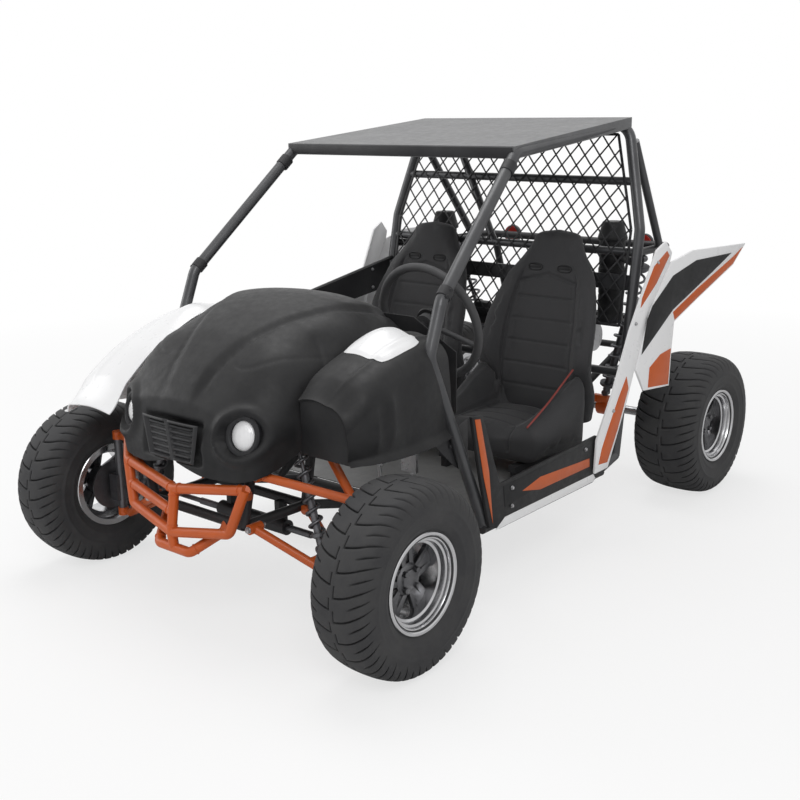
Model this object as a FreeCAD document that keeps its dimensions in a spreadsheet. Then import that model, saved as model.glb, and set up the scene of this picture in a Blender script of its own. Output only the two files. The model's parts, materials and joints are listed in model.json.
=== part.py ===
import FreeCAD, Part
import math
import os

# Two-seat dune buggy, 1:1, in millimetres.
# It faces -Y, +X is its left and +Z is up. The origin is on the ground, under the middle of its length.

V = FreeCAD.Vector
doc = FreeCAD.newDocument("dune_buggy")

# Driving dimensions
SIZES = (
    ("wheelbase", 1890),
    ("rear_overhang", 320),
    ("front_track", 1352),
    ("rear_track", 1210),
    ("tyre_radius", 275),
    ("front_tyre_width", 204),
    ("rear_tyre_width", 259),
    ("rim_lip_radius", 143),
    ("bead_radius", 127),
    ("rim_wall", 4),
    ("rim_inset", 16),
    ("spoke_count", 6),
    ("cage_tube", 38),
    ("frame_tube", 30),
    ("arm_tube", 26),
    ("bumper_tube", 30),
    ("light_tube", 18),
    ("bend", 70),
    ("gap", 0.3),
    ("running_gap", 0.5),
    ("king_pin_x", 548),
    ("upper_joint_z", 455),
    ("lower_joint_z", 190),
    ("roof_front", 792),
    ("roof_rear", 1560),
    ("roof_front_height", 1378),
    ("roof_rear_height", 1453),
    ("roof_front_width", 986),
    ("roof_rear_width", 946),
    ("roof_skirt", 38),
    ("sheet_metal", 3),
    ("panel", 4),
    ("hoop_waist", 1066),
    ("hoop_waist_y", 1485),
    ("hoop_waist_width", 1123),
    ("floor_height", 235),
    ("floor_front", 520),
    ("floor_rear", 1200),
    ("floor_width", 1170),
    ("seat_centre", 286),
    ("seat_width", 500),
    ("seat_head_height", 1075),
    ("seat_head_width", 190),
    ("steering_wheel_radius", 190),
    ("steering_wheel_grip", 28),
    ("steering_wheel_tilt", 16),
    ("mesh_pitch_x", 62),
    ("mesh_pitch_z", 75),
    ("mesh_strand", 7),
    ("lamp_radius", 45),
    ("axle_diameter", 35),
)

sheet = doc.addObject("Spreadsheet::Sheet", "Sizes")
for row, (name, value) in enumerate(SIZES, 1):
    sheet.set("A%d" % row, name)
    sheet.set("B%d" % row, str(value))
    sheet.setAlias("B%d" % row, name)
doc.recompute()


def size(name):
    """The value of one driving dimension."""
    return float(getattr(sheet, name))


GAP = size("gap")
RUN = size("running_gap")
FRONT_AXLE = -(size("wheelbase") + size("rear_overhang") - size("tyre_radius")) / 2
REAR_AXLE = FRONT_AXLE + size("wheelbase")
HUB = size("tyre_radius")
NODES = []


def at(x, y, z):
    """A point with its y measured back from the front axle."""
    return V(x, FRONT_AXLE + y, z)


def mirror(point):
    return V(-point.x, point.y, point.z)


def node(label, thing):
    """Names a finished piece and lists it for export."""
    thing.Label = label
    NODES.append(thing)
    return thing


def solid(label, shape):
    """A document object that holds a shape made with Part's own functions."""
    thing = doc.addObject("Part::Feature", label)
    thing.Shape = shape
    return thing


def fuse(label, things):
    joined = doc.addObject("Part::MultiFuse", label)
    joined.Shapes = things
    return joined


def cut(label, base, tool):
    result = doc.addObject("Part::Cut", label)
    result.Base = base
    result.Tool = tool
    return result


def box(label, corner, spans):
    """A box by its low corner and three spans, which are numbers or expressions."""
    thing = doc.addObject("Part::Box", label)
    for side, span in zip(("Length", "Width", "Height"), spans):
        if isinstance(span, str):
            thing.setExpression(side, span)
        else:
            setattr(thing, side, span)
    thing.Placement.Base = corner
    return thing


def rod(label, start, end, radius):
    """A straight round rod between two points. The radius is a number or an expression."""
    thing = doc.addObject("Part::Cylinder", label)
    if isinstance(radius, str):
        thing.setExpression("Radius", radius)
    else:
        thing.Radius = radius
    thing.Height = (end - start).Length
    thing.Placement = FreeCAD.Placement(start, FreeCAD.Rotation(V(0, 0, 1), end - start))
    return thing


def unit(vector):
    return V(vector).normalize()


def route(points, bend):
    """A wire through the points with its corners rounded."""
    edges = []
    start = points[0]
    for before, corner, after in zip(points, points[1:], points[2:]):
        back = unit(before - corner)
        ahead = unit(after - corner)
        half = back.getAngle(ahead) / 2
        reach = bend / math.tan(half)
        first = corner + back * reach
        last = corner + ahead * reach
        inward = unit(back + ahead)
        middle = corner + inward * (bend / math.sin(half) - bend)
        edges.append(Part.makeLine(start, first))
        edges.append(Part.Arc(first, middle, last).toShape())
        start = last
    edges.append(Part.makeLine(start, points[-1]))
    return Part.Wire(edges)


def tube(label, points, diameter, bend=None, extra=0.0):
    """A round tube swept along a bent route. The diameter is the name of a driving dimension."""
    if len(points) == 2:
        return rod(label, points[0], points[1], "Sizes.%s / 2 + %g" % (diameter, extra))
    path = solid(label + "_route", route(points, bend or size("bend")))
    ring = doc.addObject("Part::Circle", label + "_ring")
    ring.setExpression("Radius", "Sizes.%s / 2 + %g" % (diameter, extra))
    ring.Placement = FreeCAD.Placement(points[0], FreeCAD.Rotation(V(0, 0, 1), points[1] - points[0]))
    swept = doc.addObject("Part::Sweep", label)
    swept.Sections = [ring]
    swept.Spine = (path, [])
    swept.Solid = True
    swept.Frenet = False
    return swept


def tubes(label, runs, diameter, bend=None, extra=0.0):
    """Several tubes welded into one piece."""
    members = []
    for index, points in enumerate(runs, 1):
        members.append(tube("%s_%d" % (label, index), points, diameter, bend, extra))
    if len(members) == 1:
        return members[0]
    return fuse(label, members)


def both(points):
    """The same run on the left and on the right."""
    return [points, [mirror(point) for point in points]]


def plate(label, points, depth):
    """A flat outline through the points, pushed along the vector depth."""
    outline = solid(label + "_outline", Part.Face(Part.makePolygon(points + [points[0]])))
    pushed = doc.addObject("Part::Extrusion", label)
    pushed.Base = outline
    pushed.DirMode = "Custom"
    pushed.Dir = unit(depth)
    pushed.LengthFwd = depth.Length
    pushed.Solid = True
    return pushed


def loft(label, sections, ruled=False):
    """A solid through closed sections, each a list of points."""
    rings = []
    for index, points in enumerate(sections, 1):
        rings.append(solid("%s_section_%d" % (label, index), Part.makePolygon(points + [points[0]])))
    skin = doc.addObject("Part::Loft", label)
    skin.Sections = rings
    skin.Solid = True
    skin.Ruled = ruled
    return skin


def turned(label, profile, centre, side):
    """A PartDesign body turned about X. The profile holds (distance out along the axle, radius)."""
    body = doc.addObject("PartDesign::Body", label)
    sketch = body.newObject("Sketcher::SketchObject", label + "_profile")
    plane = [item for item in body.Origin.OriginFeatures if item.Role == "XY_Plane"][0]
    sketch.AttachmentSupport = (plane, [""])
    sketch.MapMode = "FlatFace"
    corners = [V(side * out, radius, 0) for out, radius in profile]
    for first, last in zip(corners, corners[1:] + corners[:1]):
        sketch.addGeometry(Part.LineSegment(first, last))
    revolved = body.newObject("PartDesign::Revolution", label + "_turned")
    revolved.Profile = sketch
    revolved.ReferenceAxis = (sketch, ["H_Axis"])
    revolved.Angle = 360
    body.Placement.Base = centre
    doc.recompute()
    return body


# Floor frame
FLOOR_Z = size("floor_height")
FLOOR_X = size("floor_width") / 2
FLOOR_Y0 = size("floor_front")
FLOOR_Y1 = size("floor_rear")
TUBE = size("frame_tube") / 2
CAGE = size("cage_tube") / 2
TUNNEL_X = 200.0


def floor_runs():
    front = FLOOR_Y0 - TUBE - 5
    rear = FLOOR_Y1 + TUBE + 5
    return [
        [at(-FLOOR_X, FLOOR_Y0, FLOOR_Z), at(FLOOR_X, FLOOR_Y0, FLOOR_Z)],
        [at(-FLOOR_X, FLOOR_Y1, FLOOR_Z), at(FLOOR_X, FLOOR_Y1, FLOOR_Z)],
        [at(FLOOR_X, front, FLOOR_Z), at(FLOOR_X, rear, FLOOR_Z)],
        [at(-FLOOR_X, front, FLOOR_Z), at(-FLOOR_X, rear, FLOOR_Z)],
    ]


def tunnel_runs():
    return both([at(TUNNEL_X, FLOOR_Y0, FLOOR_Z), at(TUNNEL_X, FLOOR_Y1, FLOOR_Z)])


def floor_tubes(label, extra=0.0):
    """The floor's rails and cross tubes, with the two thinner tunnel tubes between them."""
    members = [tube(label + "_outer", points, "frame_tube", extra=extra) for points in floor_runs()]
    members += [tube(label + "_tunnel", points, "arm_tube", extra=extra) for points in tunnel_runs()]
    return fuse(label, members)


node("floor_frame", floor_tubes("floor_frame"))

# The same tubes a gap thicker: what meets them is cut to this form
floor_clear = floor_tubes("floor_clear", GAP)

# Front frame
NOSE_Y = -125.0
BOX_Y = 125.0
LOW_X = 200.0
LOW_Z = 345.0
HIGH_X = 240.0
HIGH_Z = 512.0
TOWER = at(262, 30, 700)
DASH_Y = 330.0
DASH_Z = 765.0


def front_runs():
    runs = []
    runs += both([at(LOW_X, NOSE_Y, LOW_Z), at(LOW_X, BOX_Y, LOW_Z - 5), at(LOW_X, FLOOR_Y0, FLOOR_Z)])
    runs += both([at(LOW_X, NOSE_Y, LOW_Z), at(HIGH_X, NOSE_Y, HIGH_Z), TOWER, at(285, DASH_Y, DASH_Z)])
    runs += both([at(LOW_X, BOX_Y, LOW_Z - 5), at(HIGH_X, BOX_Y, 560), at(279, BOX_Y, 715)])
    runs.append([at(-LOW_X, NOSE_Y, LOW_Z), at(LOW_X, NOSE_Y, LOW_Z)])
    runs.append([at(-HIGH_X, NOSE_Y, HIGH_Z), at(HIGH_X, NOSE_Y, HIGH_Z)])
    runs.append([at(-LOW_X, BOX_Y, LOW_Z - 5), at(LOW_X, BOX_Y, LOW_Z - 5)])
    runs.append([at(-HIGH_X, BOX_Y, 560), at(HIGH_X, BOX_Y, 560)])
    runs.append([at(-545, DASH_Y, DASH_Z), at(545, DASH_Y, DASH_Z)])
    return runs


# Windscreen pillars, which run on as roof rails
ROOF_PITCH = (size("roof_rear_height") - size("roof_front_height")) / (
    size("roof_rear") - size("roof_front")
)


def roof_z(y):
    """Height of the roof's top face."""
    return size("roof_front_height") + ROOF_PITCH * (y - size("roof_front"))


def hoop_y(z):
    """The rear hoop leans back."""
    return size("hoop_waist_y") + 0.19 * (z - size("hoop_waist"))


WAIST_X = size("hoop_waist_width") / 2
HOOP_TOP_X = size("roof_rear_width") / 2 - 6
RAIL_DROP = size("sheet_metal") + CAGE + GAP
HOOP_TOP_Z = roof_z(1540) - RAIL_DROP - 1


def hoop_point(x, z):
    return at(x, hoop_y(z), z)


def pillar_points(side):
    rail_y = size("roof_front") + 22
    return [
        at(side * (FLOOR_X + TUBE - CAGE), FLOOR_Y0 + 2, FLOOR_Z),
        at(side * 542, 300, 805),
        at(side * 539, 362, 962),
        at(side * 482, rail_y, roof_z(rail_y) - RAIL_DROP),
        at(side * 452, hoop_y(HOOP_TOP_Z), HOOP_TOP_Z),
    ]


def hoop_runs():
    outline = [
        hoop_point(-575, FLOOR_Z + 30),
        hoop_point(-WAIST_X, size("hoop_waist")),
        hoop_point(-HOOP_TOP_X, HOOP_TOP_Z),
        hoop_point(HOOP_TOP_X, HOOP_TOP_Z),
        hoop_point(WAIST_X, size("hoop_waist")),
        hoop_point(575, FLOOR_Z + 30),
    ]
    return [outline]


front_clear = tubes("front_clear", front_runs(), "frame_tube", 45, extra=GAP)
node("front_frame", cut("front_frame", tubes("front_tubes", front_runs(), "frame_tube", 45), floor_clear))

hoop_tube = tubes("hoop_tube", hoop_runs(), "cage_tube", 75)
BAR_HEIGHTS = (1231, 985)
bars = []
for height in BAR_HEIGHTS:
    reach = WAIST_X - (20 if height > 1066 else 0) - 30 * (height > 1066)
    bars.append(
        rod("hoop_bar", hoop_point(-reach, height), hoop_point(reach, height), "Sizes.frame_tube / 2")
    )
SHELF_Z = 850.0
shelf = box("hoop_shelf", at(-560, hoop_y(877) - 4, SHELF_Z), (1120, 8, 55))
lower_bar = rod("hoop_low_bar", hoop_point(-570, 560), hoop_point(570, 560), "Sizes.frame_tube / 2")
diagonal = rod("hoop_diagonal", hoop_point(-330, HOOP_TOP_Z), hoop_point(-60, 985), "Sizes.frame_tube / 2")
feet = []
for side in (-1, 1):
    feet.append(
        rod(
            "hoop_foot",
            hoop_point(side * 575, FLOOR_Z + 32),
            at(side * 575, FLOOR_Y1, FLOOR_Z),
            "Sizes.cage_tube / 2",
        )
    )
hoop = fuse("hoop_welded", [hoop_tube, shelf, lower_bar, diagonal] + bars + feet)
node("rear_hoop", cut("rear_hoop", hoop, floor_clear))

hoop_clear = tubes("hoop_clear", hoop_runs(), "cage_tube", 75, extra=GAP)
for side, name in ((1, "left"), (-1, "right")):
    pillar = tube("pillar_tube_" + name, pillar_points(side), "cage_tube", 60)
    cutter = fuse("pillar_cutter_" + name, [floor_clear, hoop_clear, front_clear])
    node("pillar_" + name, cut("pillar_" + name, pillar, cutter))

# Roof panel: a plate with turned-down front and sides, open at its back edge
def roof_outline(inset, drop):
    front = size("roof_front") + inset
    rear = size("roof_rear")
    front_x = size("roof_front_width") / 2 - inset
    rear_x = size("roof_rear_width") / 2 - inset
    return [
        at(-front_x, front, roof_z(front) - drop),
        at(front_x, front, roof_z(front) - drop),
        at(rear_x, rear, roof_z(rear) - drop),
        at(-rear_x, rear, roof_z(rear) - drop),
    ]


METAL = size("sheet_metal")
roof_block = plate("roof_block", roof_outline(0, size("roof_skirt")), V(0, 0, size("roof_skirt")))
inner = roof_outline(METAL, size("roof_skirt") + 10)
inner[2] = inner[2] + V(0, 60, 60 * ROOF_PITCH)
inner[3] = inner[3] + V(0, 60, 60 * ROOF_PITCH)
roof_hollow = plate("roof_hollow", inner, V(0, 0, size("roof_skirt") + 10 - METAL))
notches = []
for side in (-1, 1):
    notches.append(
        tube(
            "roof_notch",
            pillar_points(side)[2:4] + [pillar_points(side)[4]],
            "cage_tube",
            60,
            extra=RUN,
        )
    )
roof = cut("roof_panel", roof_block, fuse("roof_cutter", [roof_hollow, hoop_clear] + notches))
node("roof_panel", roof)

# Rear struts and rear frame
STRUT_FOOT = at(452, 1850, 968)
strut_runs = both([hoop_point(488, 1370) + V(0, CAGE, 0), STRUT_FOOT])
struts = tubes("strut_tubes", strut_runs, "frame_tube")


RAIL_FRONT = (452.0, 1560.0)
RAIL_REAR = (430.0, 1950.0)
RAIL_Z = 952.0


def rail_x(y):
    """How far out the rear frame's upper rail lies."""
    share = (y - RAIL_FRONT[1]) / (RAIL_REAR[1] - RAIL_FRONT[1])
    return RAIL_FRONT[0] + (RAIL_REAR[0] - RAIL_FRONT[0]) * share


def rear_runs():
    runs = []
    runs += both([hoop_point(545, RAIL_Z), at(*RAIL_FRONT, RAIL_Z), at(*RAIL_REAR, RAIL_Z)])
    runs += both(
        [
            at(170, FLOOR_Y1, FLOOR_Z),
            at(170, 1420, 300),
            at(200, 1700, 372),
            at(330, 1975, 620),
            at(400, 1950, 952),
        ]
    )
    runs.append([at(-430, 1950, 952), at(430, 1950, 952)])
    runs.append([at(-181, 1520, 328), at(181, 1520, 328)])
    runs.append([at(-197, 1680, 367), at(197, 1680, 367)])
    runs.append([at(-330, 1975, 620), at(330, 1975, 620)])
    return runs


rear_clear = tubes("rear_clear", rear_runs(), "frame_tube", 50, extra=GAP)
node("rear_struts", cut("rear_struts", struts, fuse("strut_cutter", [hoop_clear, rear_clear])))
ENGINE_Z = 420.0
engine_feet = []
for y, z in ((1520, 328), (1680, 367)):
    for x in (-100, 100):
        engine_feet.append(box("engine_foot", at(x - 18, y - 12, z), (36, 24, ENGINE_Z - GAP - z)))
rear_tubes = fuse("rear_welded", [tubes("rear_tubes", rear_runs(), "frame_tube", 50)] + engine_feet)
rear_cutter = fuse("rear_cutter", [floor_clear, hoop_clear])
node("rear_frame", cut("rear_frame", rear_tubes, rear_cutter))

# Diamond mesh screen, in the plane of the hoop and in front of its cross tubes
def mesh_screen():
    lean = math.atan(0.19)
    low = 720.0
    high = HOOP_TOP_Z - CAGE - 6
    waist = size("hoop_waist")

    def half_width(z):
        if z < waist:
            return WAIST_X - CAGE - 4
        share = (z - waist) / (HOOP_TOP_Z - waist)
        return WAIST_X + (HOOP_TOP_X - WAIST_X) * share - CAGE - 4

    border = [V(-half_width(low), 0, low), V(half_width(low), 0, low), V(half_width(waist), 0, waist)]
    border += [
        V(half_width(high) - 14, 0, high),
        V(-half_width(high) + 14, 0, high),
        V(-half_width(waist), 0, waist),
    ]
    half_x = size("mesh_pitch_x") / 2
    half_z = size("mesh_pitch_z") / 2
    strand = size("mesh_strand") / 2
    hole_x = half_x - strand * math.hypot(half_x, half_z) / half_z
    hole_z = half_z - strand * math.hypot(half_x, half_z) / half_x
    wires = [Part.makePolygon(border + [border[0]])]
    row = 0
    z = low + half_z + 4
    while z + hole_z < high - 4:
        shift = half_x if row % 2 else 0.0
        columns = int(WAIST_X / half_x) + 1
        for column in range(-columns, columns + 1):
            x = column * 2 * half_x + shift
            edge = 14 if z > waist + 200 else 0
            room = min(half_width(z - hole_z), half_width(z + hole_z)) - 3 - edge
            if abs(x) + hole_x < room:
                corners = [
                    V(x - hole_x, 0, z),
                    V(x, 0, z - hole_z),
                    V(x + hole_x, 0, z),
                    V(x, 0, z + hole_z),
                ]
                wires.append(Part.makePolygon(corners + [corners[0]]))
        row += 1
        z += half_z
    face = Part.makeFace(wires, "Part::FaceMakerBullseye")
    screen = face.extrude(V(0, 3, 0))
    screen.translate(V(0, 0, -waist))
    screen.rotate(V(0, 0, 0), V(1, 0, 0), -math.degrees(lean))
    front = TUBE + 3 + GAP
    screen.translate(at(0, size("hoop_waist_y") - front / math.cos(lean), waist))
    return screen


node("mesh_screen", solid("mesh_screen", mesh_screen()))

# Wheels
def tyre_profile(width):
    half = width / 2
    top = size("tyre_radius")
    bead = size("bead_radius") + GAP
    seat = half - size("rim_inset") - size("rim_wall") - GAP
    lip = size("rim_lip_radius") + 3
    return [
        (-seat, bead),
        (-seat, lip),
        (-half + 3, bead + 38),
        (-half, bead + 62),
        (-half + 4, top - 52),
        (-half + 12, top - 22),
        (-half + 34, top - 4),
        (0, top),
        (half - 34, top - 4),
        (half - 12, top - 22),
        (half - 4, top - 52),
        (half, bead + 62),
        (half - 3, bead + 38),
        (seat, lip),
        (seat, bead),
        (seat - 14, bead),
        (half - 24, bead + 66),
        (half - 34, top - 34),
        (-half + 34, top - 34),
        (-half + 24, bead + 66),
        (-seat + 14, bead),
    ]


def rim_profile(width):
    """Barrel with lips, drop centre and hub disc."""
    half = width / 2 - size("rim_inset")
    lip = size("rim_lip_radius")
    bead = size("bead_radius")
    wall = size("rim_wall")
    return [
        (-half, bead - wall),
        (-half, lip),
        (-half + wall, lip),
        (-half + wall, bead),
        (-half + 26, bead),
        (-half + 38, bead - 18),
        (half - 38, bead - 18),
        (half - 26, bead),
        (half - wall, bead),
        (half - wall, lip),
        (half, lip),
        (half, bead - wall),
        (half - 24, bead - wall - 2),
        (half - 36, bead - 24),
        (half - 46, 60),
        (half - 40, 58),
        (half - 22, 40),
        (half - 18, 0),
        (half - 58, 0),
        (half - 58, 60),
        (half - 52, bead - 24),
        (-half + 36, bead - 24),
        (-half + 24, bead - wall - 2),
    ]


def wheel(name, centre, side, width, joined=None):
    tyre = turned("tyre_body_" + name, tyre_profile(width), centre, side)
    node("tyre_" + name, tyre)
    rim = turned("rim_body_" + name, rim_profile(width), centre, side)
    windows = []
    half = width / 2 - size("rim_inset")
    count = int(size("spoke_count"))
    for index in range(count):
        angle = 2 * math.pi * (index + 0.5) / count
        middle = centre + V(side * (half - 70), 84 * math.cos(angle), 84 * math.sin(angle))
        windows.append(rod("rim_window", middle, middle + V(side * 60, 0, 0), 16))
    return cut("rim_cut_" + name, rim, fuse("rim_windows_" + name, windows))


for side, name in ((1, "left"), (-1, "right")):
    hub = V(side * size("front_track") / 2, FRONT_AXLE, HUB)
    node("rim_front_" + name, wheel("front_" + name, hub, side, size("front_tyre_width")))
rear_rims = []
for side, name in ((1, "left"), (-1, "right")):
    hub = V(side * size("rear_track") / 2, REAR_AXLE, HUB)
    rear_rims.append(wheel("rear_" + name, hub, side, size("rear_tyre_width")))
node("rims_rear", fuse("rims_rear", rear_rims))

# Rear axle: shaft, hubs, chain sprocket and brake disc
REAR_RIM_BACK = size("rear_track") / 2 + size("rear_tyre_width") / 2 - size("rim_inset") - 58
shaft_end = REAR_RIM_BACK - GAP
axle = rod(
    "axle_shaft",
    V(-shaft_end, REAR_AXLE, HUB),
    V(shaft_end, REAR_AXLE, HUB),
    "Sizes.axle_diameter / 2",
)
axle_parts = [axle]
for side in (-1, 1):
    axle_parts.append(
        rod(
            "axle_hub",
            V(side * (shaft_end - 60), REAR_AXLE, HUB),
            V(side * shaft_end, REAR_AXLE, HUB),
            45,
        )
    )
SPROCKET_X = -60.0
DISC_X = 70.0
axle_parts.append(rod("sprocket", V(SPROCKET_X - 4, REAR_AXLE, HUB), V(SPROCKET_X + 4, REAR_AXLE, HUB), 88))
axle_parts.append(rod("brake_disc", V(DISC_X - 2, REAR_AXLE, HUB), V(DISC_X + 2, REAR_AXLE, HUB), 92))
node("rear_axle", fuse("rear_axle", axle_parts))

# Swing arm: two legs from its pivot tube to the axle bearings
PIVOT_Y = 1430.0
PIVOT_Z = 330.0
BEARING_X = 215.0
SHOCK_X = 268.0
SHOCK_Y = 1800.0
SHOCK_Z = 360.0
bearing_radius = size("axle_diameter") / 2 + 18
arm_parts = []
bores = []
for side in (-1, 1):
    arm_parts.append(
        tube(
            "swing_leg",
            [
                at(side * 130, PIVOT_Y, PIVOT_Z + 50),
                at(side * BEARING_X, 1560, PIVOT_Z + 62),
                at(side * BEARING_X, size("wheelbase"), HUB + 28),
            ],
            "frame_tube",
            60,
        )
    )
    lug_x = min(side * BEARING_X, side * (SHOCK_X + 14))
    arm_parts.append(
        box(
            "shock_lug",
            at(lug_x, SHOCK_Y - 11, SHOCK_Z - 42),
            (SHOCK_X + 14 - BEARING_X, 22, 29 - GAP),
        )
    )
    centre = V(side * BEARING_X, REAR_AXLE, HUB)
    arm_parts.append(rod("bearing", centre - V(25, 0, 0), centre + V(25, 0, 0), bearing_radius))
    bores.append(
        rod(
            "bearing_bore",
            centre - V(40, 0, 0),
            centre + V(40, 0, 0),
            "Sizes.axle_diameter / 2 + Sizes.gap",
        )
    )
arm_parts.append(
    rod(
        "swing_pivot",
        at(-150, PIVOT_Y, PIVOT_Z + 50),
        at(150, PIVOT_Y, PIVOT_Z + 50),
        "Sizes.frame_tube / 2",
    )
)
arm_parts.append(
    rod(
        "swing_cross",
        at(-BEARING_X, 1600, PIVOT_Z + 59),
        at(BEARING_X, 1600, PIVOT_Z + 59),
        "Sizes.frame_tube / 2",
    )
)
swing = cut("swing_bored", fuse("swing_welded", arm_parts), fuse("swing_bores", bores))
swing = cut("swing_arm", swing, rear_clear)
node("swing_arm", swing)


# Shock absorbers: damper body, rod, spring and eyes
def shock(name, low, high, spring_radius, coils):
    line = high - low
    way = unit(line)
    length = line.Length
    parts = [
        rod(name + "_damper", low + way * 12, low + way * (length * 0.55), spring_radius * 0.48),
        rod(name + "_rod", low + way * (length * 0.5), high - way * 12, spring_radius * 0.25),
        rod(name + "_cap", high - way * 38, high - way * 26, spring_radius * 1.05),
        rod(name + "_seat", low + way * 36, low + way * 46, spring_radius * 1.05),
        rod(name + "_eye_low", low - V(0, 14, 0), low + V(0, 14, 0), 13),
        rod(name + "_eye_high", high - V(0, 14, 0), high + V(0, 14, 0), 13),
    ]
    wire = 5.0
    span = length - 38 - 46
    helix = Part.makeHelix(span / coils, span, spring_radius - wire)
    ring = Part.Wire(Part.makeCircle(wire, V(spring_radius - wire, 0, 0), V(0, 1, 0)))
    coil = Part.Wire(helix).makePipeShell([ring], True, True)
    coil.Placement = FreeCAD.Placement(low + way * 46, FreeCAD.Rotation(V(0, 0, 1), way))
    return parts, solid(name + "_spring", coil)


# Front suspension: upper arms, lower arms, shock absorbers
ARM = size("arm_tube") / 2
PIN_X = size("king_pin_x")
UPPER_Z = size("upper_joint_z")
LOWER_Z = size("lower_joint_z")
BRACE_X = 385.0
BRACE_Z = 256.0


def upper_arm(side):
    tip = at(side * (PIN_X - 34), 0, UPPER_Z)
    runs = [
        [at(side * (HIGH_X + 24), NOSE_Y + 14, HIGH_Z - 6), tip],
        [at(side * (HIGH_X + 24), BOX_Y - 14, 598), tip],
        [at(side * 300, 22, 500), at(side * 440, 0, 462)],
    ]
    eyes = [
        rod(
            "upper_eye",
            at(side * (HIGH_X + 24), NOSE_Y - 6, HIGH_Z - 6),
            at(side * (HIGH_X + 24), NOSE_Y + 40, HIGH_Z - 6),
            15,
        ),
        rod(
            "upper_eye",
            at(side * (HIGH_X + 24), BOX_Y - 34, 598),
            at(side * (HIGH_X + 24), BOX_Y + 12, 598),
            15,
        ),
        rod("upper_joint", at(side * PIN_X, 0, UPPER_Z - 12), at(side * PIN_X, 0, UPPER_Z + 14), 17),
        rod("upper_neck", tip, at(side * PIN_X, 0, UPPER_Z), "Sizes.arm_tube / 2 - 2"),
    ]
    return [tubes("upper_arm", runs[:2], "arm_tube")] + eyes


def lower_arm(side):
    tip = at(side * (PIN_X - 38), 0, LOWER_Z)
    runs = [
        [at(side * (LOW_X + 26), NOSE_Y + 14, LOW_Z - 4), tip],
        [at(side * (LOW_X + 26), BOX_Y - 14, LOW_Z - 8), tip],
        [at(side * BRACE_X, -52, BRACE_Z), at(side * BRACE_X, 52, BRACE_Z)],
    ]
    eyes = [
        rod(
            "lower_eye",
            at(side * (LOW_X + 26), NOSE_Y - 6, LOW_Z - 4),
            at(side * (LOW_X + 26), NOSE_Y + 40, LOW_Z - 4),
            15,
        ),
        rod(
            "lower_eye",
            at(side * (LOW_X + 26), BOX_Y - 34, LOW_Z - 8),
            at(side * (LOW_X + 26), BOX_Y + 12, LOW_Z - 8),
            15,
        ),
        rod("lower_joint", at(side * PIN_X, 0, LOWER_Z - 14), at(side * PIN_X, 0, LOWER_Z + 12), 17),
        rod("lower_neck", tip, at(side * PIN_X, 0, LOWER_Z), "Sizes.arm_tube / 2 - 2"),
    ]
    return [tubes("lower_arm", runs, "arm_tube")] + eyes


uppers = fuse("upper_arms_welded", upper_arm(1) + upper_arm(-1))
node("upper_arms", cut("upper_arms", uppers, front_clear))
lowers = fuse("lower_arms_welded", lower_arm(1) + lower_arm(-1))
node("lower_arms", cut("lower_arms", lowers, front_clear))

shock_parts = []
for side in (1, -1):
    parts, spring = shock(
        "front_shock",
        at(side * BRACE_X, 0, BRACE_Z + ARM + 13 + GAP),
        at(side * 245, 30, 666),
        24,
        9,
    )
    shock_parts += parts + [spring]
node("front_shocks", cut("front_shocks", fuse("front_shocks_joined", shock_parts), front_clear))

rear_shock_parts = []
for side in (1, -1):
    parts, spring = shock(
        "rear_shock",
        at(side * SHOCK_X, SHOCK_Y, SHOCK_Z),
        at(side * rail_x(1745), 1745, RAIL_Z - TUBE - 13 - GAP),
        32,
        11,
    )
    rear_shock_parts += parts + [spring]
node("rear_shocks", cut("rear_shocks", fuse("rear_shocks_joined", rear_shock_parts), rear_clear))

# Knuckles: king pin post, stub axle, steering arm, brake disc
FRONT_RIM_BACK = size("front_track") / 2 + size("front_tyre_width") / 2 - size("rim_inset") - 58
STEER_ARM_Y = 95.0
for side, name in ((1, "left"), (-1, "right")):
    post = rod(
        "knuckle_post",
        at(side * PIN_X, 0, LOWER_Z + 12 + RUN),
        at(side * PIN_X, 0, UPPER_Z - 12 - RUN),
        14,
    )
    carrier = box("knuckle_carrier", at(side * (PIN_X + 12) - 20, -24, HUB - 45), (40, 48, 90))
    stub = rod("knuckle_stub", at(side * PIN_X, 0, HUB), at(side * (FRONT_RIM_BACK - RUN), 0, HUB), 16)
    disc = rod("knuckle_disc", at(side * (PIN_X + 42), 0, HUB), at(side * (PIN_X + 46), 0, HUB), 82)
    lever = box("knuckle_lever", at(side * PIN_X - 10, 0, 232), (20, STEER_ARM_Y, 12))
    lever_end = rod(
        "knuckle_lever_end",
        at(side * PIN_X, STEER_ARM_Y, 232),
        at(side * PIN_X, STEER_ARM_Y, 244),
        14,
    )
    node("knuckle_" + name, fuse("knuckle_" + name, [post, carrier, stub, disc, lever, lever_end]))

# Steering: rack housing, tie rods, column and wheel
RACK_Y = STEER_ARM_Y
RACK_Z = 262.0
housing = rod("rack_tube", at(-150, RACK_Y, RACK_Z), at(150, RACK_Y, RACK_Z), 24)
hangers = []
for x in (-120, 100):
    hangers.append(
        box("rack_hanger", at(x, RACK_Y - 5, RACK_Z), (20, BOX_Y - RACK_Y + 5, LOW_Z - 5 - RACK_Z))
    )
bore = rod("rack_bore", at(-160, RACK_Y, RACK_Z), at(160, RACK_Y, RACK_Z), 11 + RUN)
housing = cut("rack_housing_bored", fuse("rack_housing_body", [housing] + hangers), bore)
node("rack_housing", cut("rack_housing", housing, front_clear))
rack_bar = rod("rack_bar", at(-250, RACK_Y, RACK_Z), at(250, RACK_Y, RACK_Z), 11)
rods = [rack_bar]
for side in (-1, 1):
    rods.append(rod("tie_rod", at(side * 240, RACK_Y, RACK_Z), at(side * PIN_X, RACK_Y, RACK_Z), 8))
    rods.append(rod("tie_rod_end", at(side * PIN_X, RACK_Y, 246), at(side * PIN_X, RACK_Y, 274), 13))
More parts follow.
